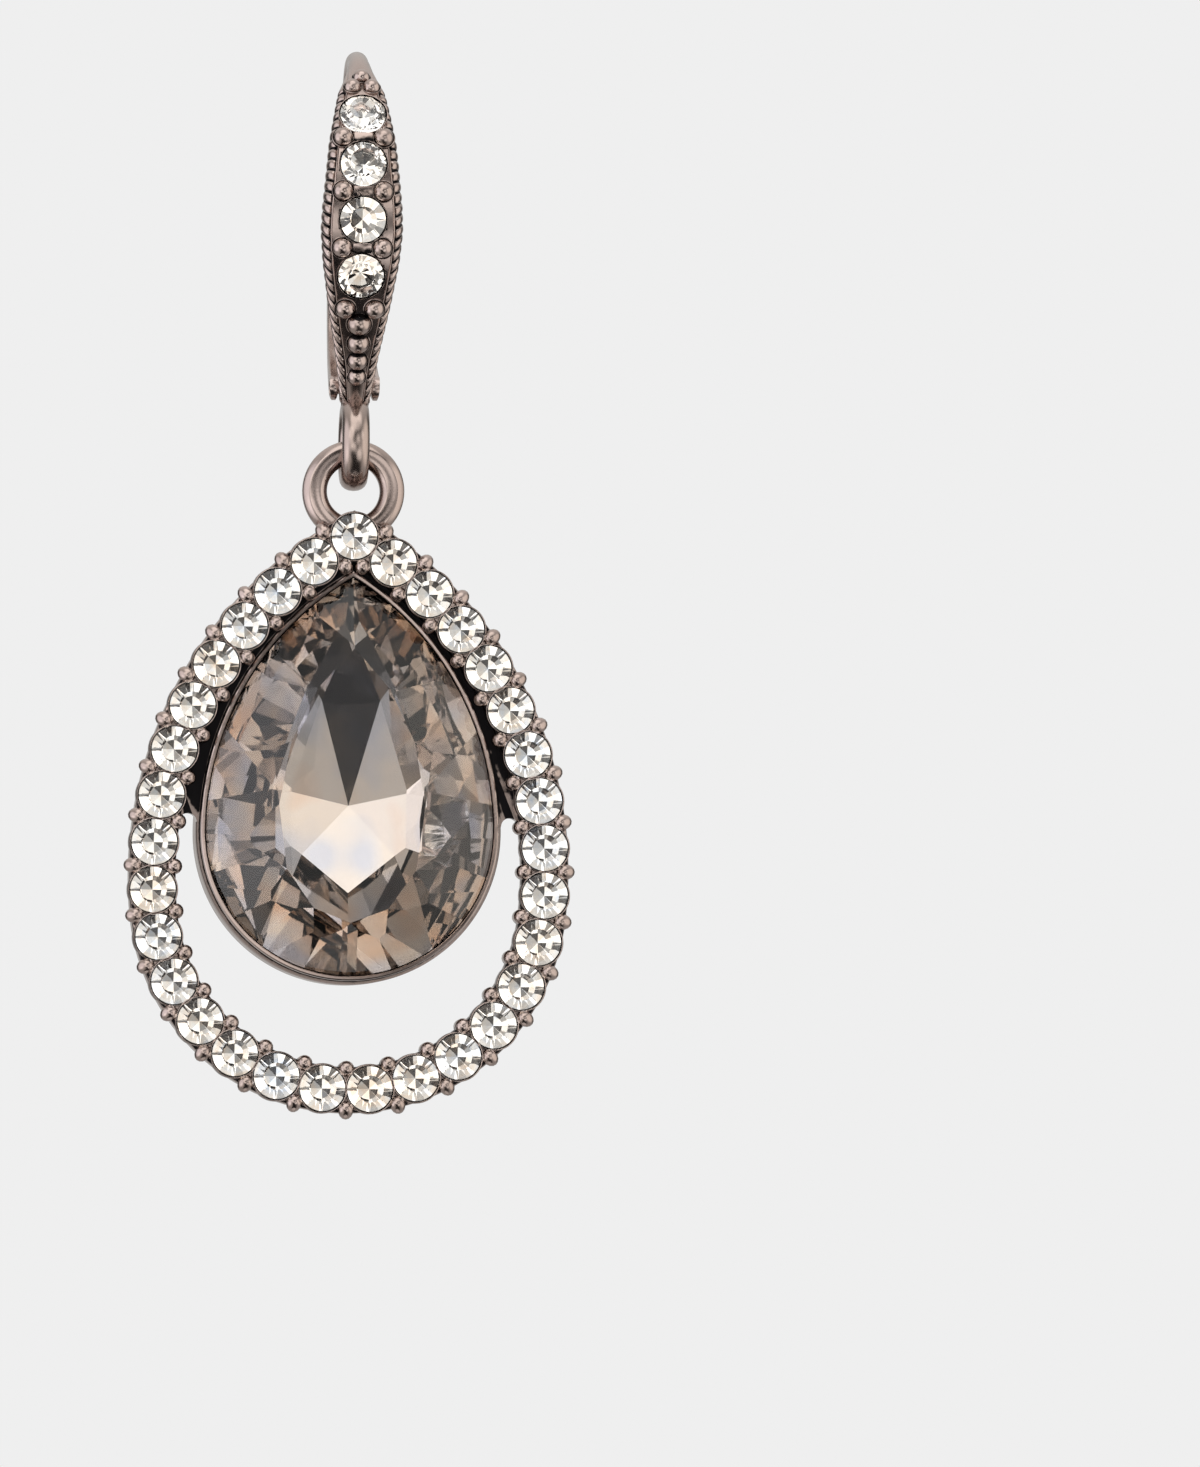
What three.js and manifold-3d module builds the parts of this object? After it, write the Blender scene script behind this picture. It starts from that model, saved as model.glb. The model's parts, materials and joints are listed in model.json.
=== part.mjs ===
// Teardrop earring with a hinged lever back.
//
// The ear hook is one casting: a round ear wire that rises from its tip, bends over the top and
// widens into a curved front shield with four round stones, then narrows to a beaded tail that
// ends in a lug for the lever's pin and an upright loop. The lever swings on that pin and closes on
// the wire's tip. The drop hangs in the loop by its bail ring. Its frame is one casting too: a
// teardrop band of round stones with a bead prong on both sides of every joint, a deep cup for the
// pear-shaped stone, and a sunken web that joins the two above the open crescent.
//
// Millimetres. +X is to the wearer's side, -Y is the front that shows, +Z is up. The origin is on
// the ear wire's axis at the top of its arch, where the ear lobe carries the earring.
import * as THREE from "three";
import { ConvexGeometry } from "three/addons/geometries/ConvexGeometry.js";
import { mergeVertices } from "three/addons/utils/BufferGeometryUtils.js";
import Module from "manifold-3d";

const wasm = await Module();
wasm.setup();

// Round stones, the same size on the hook and round the drop
const chatonDiameter = 2.05;
const chatonTableShare = 0.52; // table's diameter, as a share of the stone's
const chatonCrown = 0.42;
const chatonPavilion = 0.98;
const chatonGirdle = 0.08;
const chatonSides = 16;
const seatClearance = 0.05; // between any stone and the metal round it

// Ear wire
const wireDiameter = 0.95;
const archRadius = 7.4; // outer face of the front curve, from the tail up to the top of the arch
const backRadius = 3.3; // outer face of the bend behind the top
const wireLeg = 5.75; // straight end behind the ear lobe
const tipTaper = 0.6;

// Front shield and tail
const shieldWidth = 3.76;
const shieldThickness = 2.0;
const wireRun = 2.0; // round wire in front of the top, before the shield begins to widen
const tailLean = 30; // degrees that the tail leans back
const tailLength = 6.25;
const tailWidth = 1.22;
const tailThickness = 1.05;
const ridgePitch = 0.54;
const ridgeDepth = 0.13;
const hookStoneCount = 4;
const hookStonePitch = 2.57;
const hookRowCentre = 10.96; // along the face, from the top of the arch

// Beads of the hook
const prongBead = 0.455; // radius of a bead beside the stones
const crestBead = 0.39; // radius of the three beads above the top stone
const endBeadReach = 1.7; // along the face, from an end stone's centre to the beads past it
const trailBead = 0.54; // radius of the first bead down the tail
const trailShrink = 0.045; // how much smaller each next bead is
const trailCount = 4;

// Loop under the tail, in the plane of the clasp
const loopOuterRadius = 2.15;
const loopWire = 1.0; // thickness in the plane of the loop
const loopWidth = 1.25;
const loopBehindTail = 0.48; // from the tail's end, back to the loop's centre
const loopSink = 0.7; // how far the loop's top runs up into the tail

// Lever and its pin
const pinRadius = 0.28;
const pinClearance = 0.05;
const pinBehindFace = 1.3; // from the tail's front face, square to it
const pinAboveEnd = 0.5; // along the tail, above its end
const earRadius = 0.55;
const earThickness = 0.38;
const lugWidth = 1.34;
const lugClearance = 0.08;
const leverThickness = 1.1;
const leverTipWidth = 1.9;
const leverSlot = 3.0; // from the pin, up the fork between the ears
const catchDepth = 1.3; // how far the wire's tip lies in the lever's groove
const catchSetback = 0.5; // from the wire's axis, back to the middle of the lever
const catchClearance = 0.1;

// Drop: the line through the centres of its round stones
const haloBottomRadius = 8.86;
const haloSideRadius = 17.6;
const haloJoinAngle = -6; // degrees; where the bottom arc runs into the side arcs
const haloStoneGap = 0.09; // least gap between two round stones

// Drop: band, prongs and ring
const bandMargin = 0.03; // metal outside the stones, between the collets
const colletWall = 0.12;
const colletDepth = 1.3;
const bandDepth = 2.1;
const prongLength = 1.9; // from the bead's foot, down the band's wall
const haloBead = 0.33; // radius
const haloBeadOutside = 0.86; // from the line of stones to the outer beads
const haloBeadInside = 0.97; // and to the inner ones
const haloBeadRise = 0.3; // above the band's face
const ringOuterRadius = 2.31;
const ringBar = 1.1; // across the ring's face
const ringThickness = 1.2;
const ringBevel = 0.28;
const ringToStone = 2.1; // from the ring's centre, down to the top stone's centre
const hangGap = 0.2; // between the ring's bar and the loop that carries it

// Pear-shaped stone and its cup
const pearLength = 18;
const pearWidth = 13;
const pearCrown = 1.9;
const pearPavilion = 2.9;
const pearGirdle = 0.25;
const pearTipDrop = 1.87; // from the point where the lines of stones meet, down to the pear's tip
const pearSetBack = 0.3; // girdle's front edge behind the band's face
const culetAbovePear = 1.2; // from the pear's bottom arc centre
const bezelWall = 0.26;
const bezelLip = 0.12; // rim in front of the girdle
const flangeWall = 0.42;
const flangeDrop = 1.0; // below the rim
const ledgeWidth = 0.3;
const ledgeDrop = 0.34; // below the girdle
const cupDepth = 4.25; // from the girdle to the cup's back
const cupFloor = 0.35;
const webSink = 0.95; // web's face behind the band's face
const webReach = 0.35; // how far the web runs into the band and the cup's wall
const webEnd = 3.2; // web's lower end, above the halo's bottom arc centre
const dropBalance = 1.57; // ring's middle behind the band's face, so that the drop hangs straight

const radians = THREE.MathUtils.degToRad;
const OVERSHOOT = 1; // how far a cutting tool runs past what it cuts
const chatonRadius = chatonDiameter / 2;

const metal = new THREE.MeshStandardMaterial({ color: 0x6b6161, roughness: 0.22, metalness: 1 });
const clearCrystal = new THREE.MeshStandardMaterial({ color: 0xe9e4dc, roughness: 0.03, metalness: 0.1 });
const smokyCrystal = new THREE.MeshStandardMaterial({ color: 0x8d8279, roughness: 0.03, metalness: 0.1 });

// A closed three.js geometry as a solid that can be joined and cut.
function solidOf(geometry) {
  const bare = geometry.clone();
  for (const name of Object.keys(bare.attributes)) if (name !== "position") bare.deleteAttribute(name);
  const merged = mergeVertices(bare, 1e-4);
  return new wasm.Manifold(
    new wasm.Mesh({
      numProp: 3,
      vertProperties: new Float32Array(merged.attributes.position.array),
      triVerts: new Uint32Array(merged.index.array),
    }),
  );
}

function geometryOf(solid) {
  const mesh = solid.getMesh();
  const geometry = new THREE.BufferGeometry();
  geometry.setAttribute("position", new THREE.BufferAttribute(new Float32Array(mesh.vertProperties), 3));
  geometry.setIndex(new THREE.BufferAttribute(new Uint32Array(mesh.triVerts), 1));
  return geometry;
}

function joined(solids) {
  return solids.reduce((whole, piece) => whole.add(piece));
}

function cut(solid, tools) {
  return tools.reduce((rest, tool) => rest.subtract(tool), solid);
}

// Rings of points, each with the same count and turning the same way, skinned and capped.
function loft(rings) {
  const count = rings[0].length;
  const positions = rings.flat().flatMap((p) => [p.x, p.y, p.z]);
  const index = [];
  for (let r = 0; r < rings.length - 1; r++) {
    for (let k = 0; k < count; k++) {
      const a = r * count + k;
      const b = r * count + ((k + 1) % count);
      index.push(a, b, b + count, a, b + count, a + count);
    }
  }
  const last = (rings.length - 1) * count;
  for (let k = 1; k < count - 1; k++) {
    index.push(0, k + 1, k, last, last + k, last + k + 1);
  }
  const geometry = new THREE.BufferGeometry();
  geometry.setAttribute("position", new THREE.Float32BufferAttribute(positions, 3));
  geometry.setIndex(index);
  return geometry;
}

// A shape drawn in X and Z, as a plate from its front face at y = front to its back at y = back.
function plate(shape, front, back, bevel = 0, curveSegments = 24) {
  const geometry = new THREE.ExtrudeGeometry(shape, {
    depth: back - front - 2 * bevel,
    bevelEnabled: bevel > 0,
    bevelThickness: bevel,
    bevelSize: bevel,
    bevelOffset: -bevel,
    bevelSegments: 1,
    curveSegments,
  });
  return geometry.rotateX(Math.PI / 2).translate(0, back - bevel, 0);
}

// A round bar along X.
function crossBar(radius, width, y, z, sides = 16) {
  return new THREE.CylinderGeometry(radius, radius, width, sides).rotateZ(Math.PI / 2).translate(0, y, z);
}

// A profile of [radius, height] rows turned round -Y, so that heights rise towards the front.
function turned(profile, sides) {
  const points = profile.map(([radius, height]) => new THREE.Vector2(radius, height));
  return new THREE.LatheGeometry(points, sides).rotateX(Math.PI);
}

// Two arcs, a wide bottom and two flatter sides that meet at the tip, round (0, 0).
class Teardrop {
  constructor(bottomRadius, sideRadius, joinAngle) {
    this.bottomRadius = bottomRadius;
    this.sideRadius = sideRadius;
    this.join = radians(joinAngle);
    this.sideX = (bottomRadius - sideRadius) * Math.cos(this.join);
    this.sideZ = (bottomRadius - sideRadius) * Math.sin(this.join);
  }

  tipAngle(offset = 0) {
    return Math.acos(-this.sideX / (this.sideRadius + offset));
  }

  tipHeight(offset = 0) {
    return this.sideZ + (this.sideRadius + offset) * Math.sin(this.tipAngle(offset));
  }

  get halfLength() {
    const sideLength = this.sideRadius * (this.tipAngle() - this.join);
    return sideLength + this.bottomRadius * (Math.PI / 2 + this.join);
  }

  // Half the width at a height on the side arcs.
  halfWidth(z, offset = 0) {
    const radius = this.sideRadius + offset;
    return this.sideX + Math.sqrt(radius * radius - (z - this.sideZ) ** 2);
  }

  // The point at a distance from the tip, down the right side, with its outward direction.
  at(distance) {
    const sideLength = this.sideRadius * (this.tipAngle() - this.join);
    if (distance < sideLength) {
      const angle = this.tipAngle() - distance / this.sideRadius;
      return this.point(this.sideX, this.sideZ, this.sideRadius, angle);
    }
    return this.point(0, 0, this.bottomRadius, this.join - (distance - sideLength) / this.bottomRadius);
  }

  point(x, z, radius, angle) {
    return { x: x + radius * Math.cos(angle), z: z + radius * Math.sin(angle), angle };
  }

  // A point at a share of the whole way round: 0 at the tip, then down the right side.
  round(share) {
    const distance = share * 2 * this.halfLength;
    if (distance <= this.halfLength) return this.at(distance);
    const mirror = this.at(2 * this.halfLength - distance);
    return { x: -mirror.x, z: mirror.z, angle: Math.PI - mirror.angle };
  }

  // The outline at an offset outside the line, anticlockwise from the tip, moved up by rise.
  outline(offset, rise, sideSteps, bottomSteps) {
    const right = [];
    for (let k = 0; k <= bottomSteps; k++) {
      const angle = -Math.PI / 2 + ((this.join + Math.PI / 2) * k) / bottomSteps;
      right.push(this.point(0, 0, this.bottomRadius + offset, angle));
    }
    for (let k = 1; k <= sideSteps; k++) {
      const angle = this.join + ((this.tipAngle(offset) - this.join) * k) / sideSteps;
      right.push(this.point(this.sideX, this.sideZ, this.sideRadius + offset, angle));
    }
    const tip = right.pop();
    const left = right.slice(1).reverse();
    return [
      new THREE.Vector2(0, tip.z + rise),
      ...left.map((p) => new THREE.Vector2(-p.x, p.z + rise)),
      ...right.map((p) => new THREE.Vector2(p.x, p.z + rise)),
    ];
  }
}

const halo = new Teardrop(haloBottomRadius, haloSideRadius, haloJoinAngle);
const pearBottomRadius = pearWidth / 2;
const pearTip = pearLength - pearBottomRadius;
const pearSideRadius = (pearTip ** 2 + pearBottomRadius ** 2) / pearWidth;
const pear = new Teardrop(pearBottomRadius, pearSideRadius, 0);

// The hook's outer face in the plane of the clasp. Distances run from the top of the arch: down
// the front when above zero, and down behind the ear lobe when below it. Lean is the angle of the
// face's outward direction above the front.
const archTop = wireDiameter / 2;
const arcLength = archRadius * radians(90 + tailLean);
const bendLength = (backRadius * Math.PI) / 2;
const faceLength = arcLength + tailLength;

function faceAt(distance) {
  if (distance < -bendLength) {
    const drop = -distance - bendLength;
    return { y: backRadius, z: archTop - backRadius - drop, lean: Math.PI };
  }
  const radius = distance < 0 ? backRadius : archRadius;
  const along = Math.min(distance, arcLength);
  const lean = Math.PI / 2 - along / radius;
  const y = -radius * Math.cos(lean);
  const z = archTop - radius + radius * Math.sin(lean);
  const past = distance - along;
  return { y: y + past * Math.sin(-lean), z: z - past * Math.cos(lean), lean };
}

// A point at a distance along the face, so far to the side and so deep under the face.
function underFace(distance, side, depth) {
  const face = faceAt(distance);
  return new THREE.Vector3(
    side,
    face.y + depth * Math.cos(face.lean),
    face.z - depth * Math.sin(face.lean),
  );
}

// Lays a geometry that points to the front on the hook's face.
function onFace(geometry, distance, side = 0, depth = 0) {
  const place = underFace(distance, side, depth);
  return geometry.rotateX(-faceAt(distance).lean).translate(place.x, place.y, place.z);
}

// Width and thickness of the shield and tail: the share of the way from the wire to the tail's
// end, then each size's share of the way from the wire's own to the shield's fullest.
const SHIELD = [
  { way: 0, width: 0, thickness: 0 },
  { way: 0.07, width: 0.12, thickness: 0.2 },
  { way: 0.17, width: 0.44, thickness: 0.55 },
  { way: 0.32, width: 0.76, thickness: 0.9 },
  { way: 0.49, width: 0.97, thickness: 1 },
  { way: 0.55, width: 1, thickness: 1 },
  { way: 0.63, width: 0.91, thickness: 0.95 },
  { way: 0.74, width: 0.69, thickness: 0.75 },
  { way: 0.87, width: 0.37, thickness: 0.4 },
];

function sizesAt(distance) {
  const way = THREE.MathUtils.clamp((distance - wireRun) / (faceLength - wireRun), 0, 1);
  const rows = SHIELD.map((row) => ({
    way: row.way,
    width: wireDiameter + row.width * (shieldWidth - wireDiameter),
    thickness: wireDiameter + row.thickness * (shieldThickness - wireDiameter),
  }));
  rows.push({ way: 1, width: tailWidth, thickness: tailThickness });
  const next = Math.max(1, rows.findIndex((row) => row.way >= way));
  const [a, b] = [rows[next - 1], rows[next]];
  const t = (way - a.way) / (b.way - a.way);
  return {
    width: a.width + t * (b.width - a.width),
    thickness: a.thickness + t * (b.thickness - a.thickness),
    squareness: Math.min(1, way / SHIELD[2].way),
  };
}

// One ring of the hook's skin. A square section has its rounding power lowered towards a box.
const SECTION_SIDES = 10;

function hookRing(distance, groove) {
  const { width, thickness, squareness } = sizesAt(distance);
  const power = 1 - 0.35 * squareness;
  const end = -bendLength - wireLeg;
  const tip = Math.min(1, 0.45 + (0.55 * (distance - end)) / tipTaper);
  const ring = [];
  for (let k = 0; k < SECTION_SIDES; k++) {
    const turn = (2 * Math.PI * (k + 0.5)) / SECTION_SIDES;
    const rounded = (value) => Math.sign(value) * Math.abs(value) ** power;
    const side = (width / 2 - groove * Math.cos(turn) ** 2) * rounded(Math.cos(turn)) * tip;
    const depth = (thickness / 2) * (1 - rounded(Math.sin(turn)) * tip);
    ring.push(underFace(distance, side, depth));
  }
  return ring;
}

function hookBody() {
  const rings = [];
  const end = -bendLength - wireLeg;
  for (const distance of [end, end + tipTaper / 3, end + tipTaper]) rings.push(hookRing(distance, 0));
  const bendSteps = 8;
  for (let k = 0; k <= bendSteps; k++) rings.push(hookRing(-bendLength + (bendLength * k) / bendSteps, 0));
  rings.push(hookRing(wireRun, 0));
  const first = wireRun + SHIELD[2].way * (faceLength - wireRun);
  rings.push(hookRing((wireRun + first) / 2, 0));
  const ridges = Math.round((faceLength - pinAboveEnd - first) / ridgePitch);
  for (let k = 0; k <= 2 * ridges; k++) {
    const distance = first + ((faceLength - pinAboveEnd - first) * k) / (2 * ridges);
    rings.push(hookRing(distance, k % 2 ? ridgeDepth : 0));
  }
  rings.push(hookRing(faceLength, 0));
  return solidOf(loft(rings));
}

// A bead with its foot sunk below the face it stands on.
function bead(radius, sink, sides = 10) {
  const dome = [];
  const steps = 2;
  for (let k = 0; k <= steps; k++) {
    const angle = (Math.PI / 2) * (k / steps);
    dome.push([k === steps ? 0 : radius * Math.cos(angle), radius * Math.sin(angle)]);
  }
  return turned([[0, -sink], [radius, -sink], ...dome], sides);
}

// A round stone: an eight-sided table, twenty-four facets under it, a girdle and sixteen facets
// that run to the point at the back. Its girdle's front edge is at y = 0.
function chaton() {
  const points = [new THREE.Vector3(0, chatonGirdle + chatonPavilion, 0)];
  for (let k = 0; k < chatonSides; k++) {
    const turn = (2 * Math.PI * k) / chatonSides;
    const [x, z] = [Math.cos(turn) * chatonRadius, Math.sin(turn) * chatonRadius];
    points.push(new THREE.Vector3(x, 0, z), new THREE.Vector3(x, chatonGirdle, z));
    if (k % 2) {
      points.push(new THREE.Vector3(x * chatonTableShare, -chatonCrown, z * chatonTableShare));
    }
  }
  return new ConvexGeometry(points);
}

// What is cut from the metal for a round stone.
function chatonSeat() {
  const radius = chatonRadius + seatClearance;
  return turned(
    [
      [0, -chatonGirdle - chatonPavilion - 2 * seatClearance],
      [radius, -chatonGirdle - seatClearance],
      [radius, OVERSHOOT],
      [0, OVERSHOOT],
    ],
    chatonSides,
  );
}

// Where the hook's round stones sit along its face, from the top one down.
const hookStones = Array.from(
  { length: hookStoneCount },
  (_, k) => hookRowCentre + (k - (hookStoneCount - 1) / 2) * hookStonePitch,
);

// The beads of the hook, each with its place along the face, to the side, and its radius.
function hookBeads() {
  const beads = [];
  const pair = (distance, radius, side) => {
    beads.push({ distance, side, radius }, { distance, side: -side, radius });
  };
  for (let k = 1; k < hookStoneCount; k++) {
    pair((hookStones[k - 1] + hookStones[k]) / 2, prongBead, chatonRadius - prongBead / 4);
  }
  pair(hookStones[0] - endBeadReach, crestBead, crestBead * 1.1);
  beads.push({ distance: hookStones[0] - endBeadReach - 1.9 * crestBead, side: 0, radius: crestBead });
  const below = hookStones.at(-1) + endBeadReach;
  pair(below, prongBead, prongBead * 1.45);
  let distance = below + trailBead + 0.5 * prongBead;
  for (let k = 0; k < trailCount; k++) {
    const radius = trailBead - k * trailShrink;
    beads.push({ distance, side: 0, radius });
    distance += 2 * radius - trailShrink - 0.05;
  }
  return beads;
}

// Places that the lever, loop and drop share.
const tailEnd = faceAt(faceLength);
const pin = underFace(faceLength - pinAboveEnd, 0, pinBehindFace);
const loopCentre = { y: tailEnd.y + loopBehindTail, z: tailEnd.z + loopSink - loopOuterRadius };
const wireTip = faceAt(-bendLength - wireLeg);
const wireAxisY = wireTip.y - wireDiameter / 2;

function loopRing() {
  const shape = new THREE.Shape().absarc(0, 0, loopOuterRadius, 0, 2 * Math.PI);
  shape.holes.push(new THREE.Path().absarc(0, 0, loopOuterRadius - loopWire, 0, 2 * Math.PI));
  return plate(shape, -loopWidth / 2, loopWidth / 2, loopWire * 0.25, 9)
    .rotateZ(Math.PI / 2)
    .translate(0, loopCentre.y, loopCentre.z);
}

// The lug runs from inside the tail to a round end about the pin.
function lug() {
  const root = underFace(faceLength - pinAboveEnd, 0, tailThickness / 2);
  const corner = underFace(faceLength, 0, tailThickness / 2);
  const around = [root, corner].map((p) => new THREE.Vector3(0, p.y, p.z));
  const sides = 16;
  for (let k = 0; k < sides; k++) {
    const turn = (2 * Math.PI * k) / sides;
    around.push(
      new THREE.Vector3(0, pin.y + earRadius * Math.cos(turn), pin.z + earRadius * Math.sin(turn)),
    );
  }
  const corners = around.flatMap((p) => [-1, 1].map((s) => new THREE.Vector3((s * lugWidth) / 2, p.y, p.z)));
  return new ConvexGeometry(corners);
}

function earHook() {
  const beads = hookBeads().map((b) => solidOf(onFace(bead(b.radius, b.radius), b.distance, b.side)));
  const seats = hookStones.map((distance) => solidOf(onFace(chatonSeat(), distance)));
  const pinHole = crossBar(pinRadius + pinClearance, lugWidth + OVERSHOOT, pin.y, pin.z);
  const cast = joined([hookBody(), ...beads, solidOf(loopRing()), solidOf(lug())]);
  return cut(cast, [...seats, solidOf(pinHole)]);
}

// The lever's middle line: one arc from the pin to its upright end behind the wire's tip.
const leverWidth = lugWidth + 2 * (lugClearance + earThickness);
const leverEnd = { y: wireAxisY + catchSetback, z: wireTip.z + catchDepth };

function leverArc() {
  const reach = leverEnd.y - pin.y;
  const rise = leverEnd.z - pin.z;
  const radius = (reach * reach + rise * rise) / (2 * reach);
  return { radius, y: leverEnd.y - radius, z: leverEnd.z, sweep: Math.asin(rise / radius) };
}

function lever() {
  const arc = leverArc();
  const steps = 12;
  const rings = [];
  for (let k = 0; k <= steps; k++) {
    const share = k / steps;
    const turn = -arc.sweep * (1 - share);
    const half = (leverWidth + (leverTipWidth - leverWidth) * share) / 2;
    const inner = arc.radius - leverThickness / 2;
    const outer = arc.radius + leverThickness / 2;
    const edge = leverThickness / 5;
    const at = (x, radius) =>
      new THREE.Vector3(x, arc.y + radius * Math.cos(turn), arc.z + radius * Math.sin(turn));
    rings.push([
      at(-half, inner),
      at(half, inner),
      at(half, outer - edge),
      at(half - edge, outer),
      at(edge - half, outer),
      at(-half, outer - edge),
    ]);
  }
  const arm = solidOf(loft(rings)).add(solidOf(crossBar(earRadius, leverWidth, pin.y, pin.z)));
  const slotWidth = lugWidth + 2 * lugClearance;
  const slot = crossBar(leverSlot, slotWidth, pin.y, pin.z, 24);
  const grooveRadius = wireDiameter / 2 + catchClearance;
  const grooveLength = catchDepth + catchClearance + OVERSHOOT;
  const groove = new THREE.CylinderGeometry(grooveRadius, grooveRadius, grooveLength, 16)
    .rotateX(Math.PI / 2)
    .translate(0, wireAxisY, wireTip.z - catchClearance + grooveLength / 2);
  const pinHole = crossBar(pinRadius + pinClearance, leverWidth + OVERSHOOT, pin.y, pin.z);
  return cut(arm, [solidOf(slot), solidOf(groove), solidOf(pinHole)]);
}

// The drop's places: its ring's bar hangs on the loop, and all below follows from the ring.
const ringCentreZ =
  loopCentre.z - (loopOuterRadius - loopWire) + hangGap - (ringOuterRadius - ringBar);
const haloCentreZ = ringCentreZ - ringToStone - halo.tipHeight();
const pearCentreZ = haloCentreZ + halo.tipHeight() - pearTipDrop - pearTip;
const bandFace = loopCentre.y - dropBalance;
const bandBack = bandFace + bandDepth;
const pearGirdleY = bandFace + pearSetBack;
const cupBack = pearGirdleY + cupDepth;

const haloStoneCount = Math.floor((2 * halo.halfLength) / (chatonDiameter + haloStoneGap));
const bandHalf = chatonRadius + bandMargin;

function haloPlaces(start) {
  return Array.from({ length: haloStoneCount }, (_, k) => halo.round((k + start) / haloStoneCount));
}

function band() {
  const shape = new THREE.Shape(halo.outline(bandHalf, haloCentreZ, 9, 11));
  shape.holes.push(new THREE.Path(halo.outline(-bandHalf, haloCentreZ, 9, 11)));
  return plate(shape, bandFace, bandBack);
}

function collet(place) {
  const radius = chatonRadius + colletWall;
  const profile = [[0, -colletDepth], [radius, -colletDepth], [radius, 0], [0, 0]];
  return turned(profile, chatonSides).translate(place.x, bandFace, haloCentreZ + place.z);
}

function prong(place, offset) {
  const x = place.x + offset * Math.cos(place.angle);
  const z = haloCentreZ + place.z + offset * Math.sin(place.angle);
  return bead(haloBead, prongLength).translate(x, bandFace - haloBeadRise + haloBead, z);
}

// The sunken web fills the band down to its lower end, where each side ends in a round arch.
function web() {
  const outer = halo.outline(webReach - bandHalf, haloCentreZ, 7, 6);
  const slab = solidOf(plate(new THREE.Shape(outer), bandFace + webSink, bandBack));
  const size = 4 * haloBottomRadius;
  const below = new THREE.BoxGeometry(size, size, size);
  below.translate(0, bandFace, haloCentreZ + webEnd - size / 2);
  const inBand = halo.halfWidth(webEnd, -bandHalf);
  const outCup = pear.halfWidth(haloCentreZ + webEnd - pearCentreZ, flangeWall);
  const arch = [-1, 1].map((side) =>
    new THREE.CylinderGeometry((inBand - outCup) / 2, (inBand - outCup) / 2, 3 * bandDepth, 12).translate(
      (side * (inBand + outCup)) / 2,
      bandBack,
      haloCentreZ + webEnd,
    ),
  );
  return cut(slab, [solidOf(below), ...arch.map(solidOf)]);
}

function cup() {
  const outline = (offset) => new THREE.Shape(pear.outline(offset, pearCentreZ, 8, 9));
  const rim = pearGirdleY - bezelLip;
  return joined([
    solidOf(plate(outline(bezelWall), rim, cupBack)),
    solidOf(plate(outline(flangeWall), rim + flangeDrop, cupBack)),
  ]);
}

function cupHollow() {
  const outline = (offset) => new THREE.Shape(pear.outline(offset, pearCentreZ, 8, 9));
  const ledge = pearGirdleY + pearGirdle + ledgeDrop;
  return joined([
    solidOf(plate(outline(seatClearance), pearGirdleY - bezelLip - OVERSHOOT, ledge)),
    solidOf(plate(outline(-ledgeWidth), ledge - OVERSHOOT / 10, cupBack - cupFloor)),
  ]);
}

function bailRing() {
  const shape = new THREE.Shape().absarc(0, 0, ringOuterRadius, 0, 2 * Math.PI);
  shape.holes.push(new THREE.Path().absarc(0, 0, ringOuterRadius - ringBar, 0, 2 * Math.PI));
  const front = loopCentre.y - ringThickness / 2;
  return plate(shape, front, front + ringThickness, ringBevel, 9).translate(0, 0, ringCentreZ);
}

function dropFrame() {
  const stones = haloPlaces(0);
  const prongs = haloPlaces(0.5).flatMap((p) => [prong(p, haloBeadOutside), prong(p, -haloBeadInside)]);
  const cast = joined([
    solidOf(band()),
    web(),
    cup(),
    ...stones.map((p) => solidOf(collet(p))),
    ...prongs.map(solidOf),
    solidOf(bailRing()),
  ]);
  const seats = stones.map((p) => solidOf(chatonSeat().translate(p.x, bandFace, haloCentreZ + p.z)));
  return cut(cast, [...seats, cupHollow()]);
}

// The pear-shaped stone's meeting points, on half of it, as shares: x of half its width, z of its
// tip's height above the bottom arc's centre or of its bottom's depth below it.
const TABLE = [
  { x: 0, z: 0.72 },
  { x: 0.25, z: 0.56 },
  { x: 0.43, z: 0.35 },
  { x: 0.51, z: 0.1 },
  { x: 0.45, z: -0.27 },
  { x: 0.26, z: -0.54 },
  { x: 0, z: -0.64 },
];
const PAVILION = [
  { x: 0.205, z: 0.52, depth: 0.59 },
  { x: 0.4, z: 0.155, depth: 0.78 },
  { x: 0.325, z: -0.16, depth: 0.78 },
];
const CROWN_SHARE = 0.56; // how far the crown's middle points lie from the girdle to the table
const CROWN_RISE = 0.62; // their height, as a share of the crown's

function pearStone() {
  const spot = (row, y) =>
    new THREE.Vector3((row.x * pearWidth) / 2, y, row.z * (row.z > 0 ? pearTip : pearBottomRadius));
  const girdleStep = 2 * (TABLE.length - 1);
  const points = [new THREE.Vector3(0, pearGirdle + pearPavilion, culetAbovePear)];
  const both = (p) => points.push(p, new THREE.Vector3(-p.x, p.y, p.z));
  TABLE.forEach((row, k) => {
    both(spot(row, -pearCrown));
    if (k === TABLE.length - 1) return;
    const top = spot(row, 0).add(spot(TABLE[k + 1], 0)).divideScalar(2);
    const edge = pear.round((k + 0.5) / girdleStep);
    const middle = new THREE.Vector3(edge.x, 0, edge.z).lerp(top, CROWN_SHARE);
    both(middle.setY(-pearCrown * CROWN_RISE));
  });
  for (const row of PAVILION) both(spot(row, pearGirdle + row.depth * pearPavilion));
  const steps = 4 * girdleStep;
  for (let k = 0; k < steps; k++) {
    const edge = pear.round(k / steps);
    points.push(new THREE.Vector3(edge.x, 0, edge.z), new THREE.Vector3(edge.x, pearGirdle, edge.z));
  }
  return new ConvexGeometry(points).translate(0, pearGirdleY, pearCentreZ);
}

const earring = new THREE.Group();

function addPiece(name, geometry, material) {
  const mesh = new THREE.Mesh(geometry, material);
  mesh.name = name;
  earring.add(mesh);
}

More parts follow.
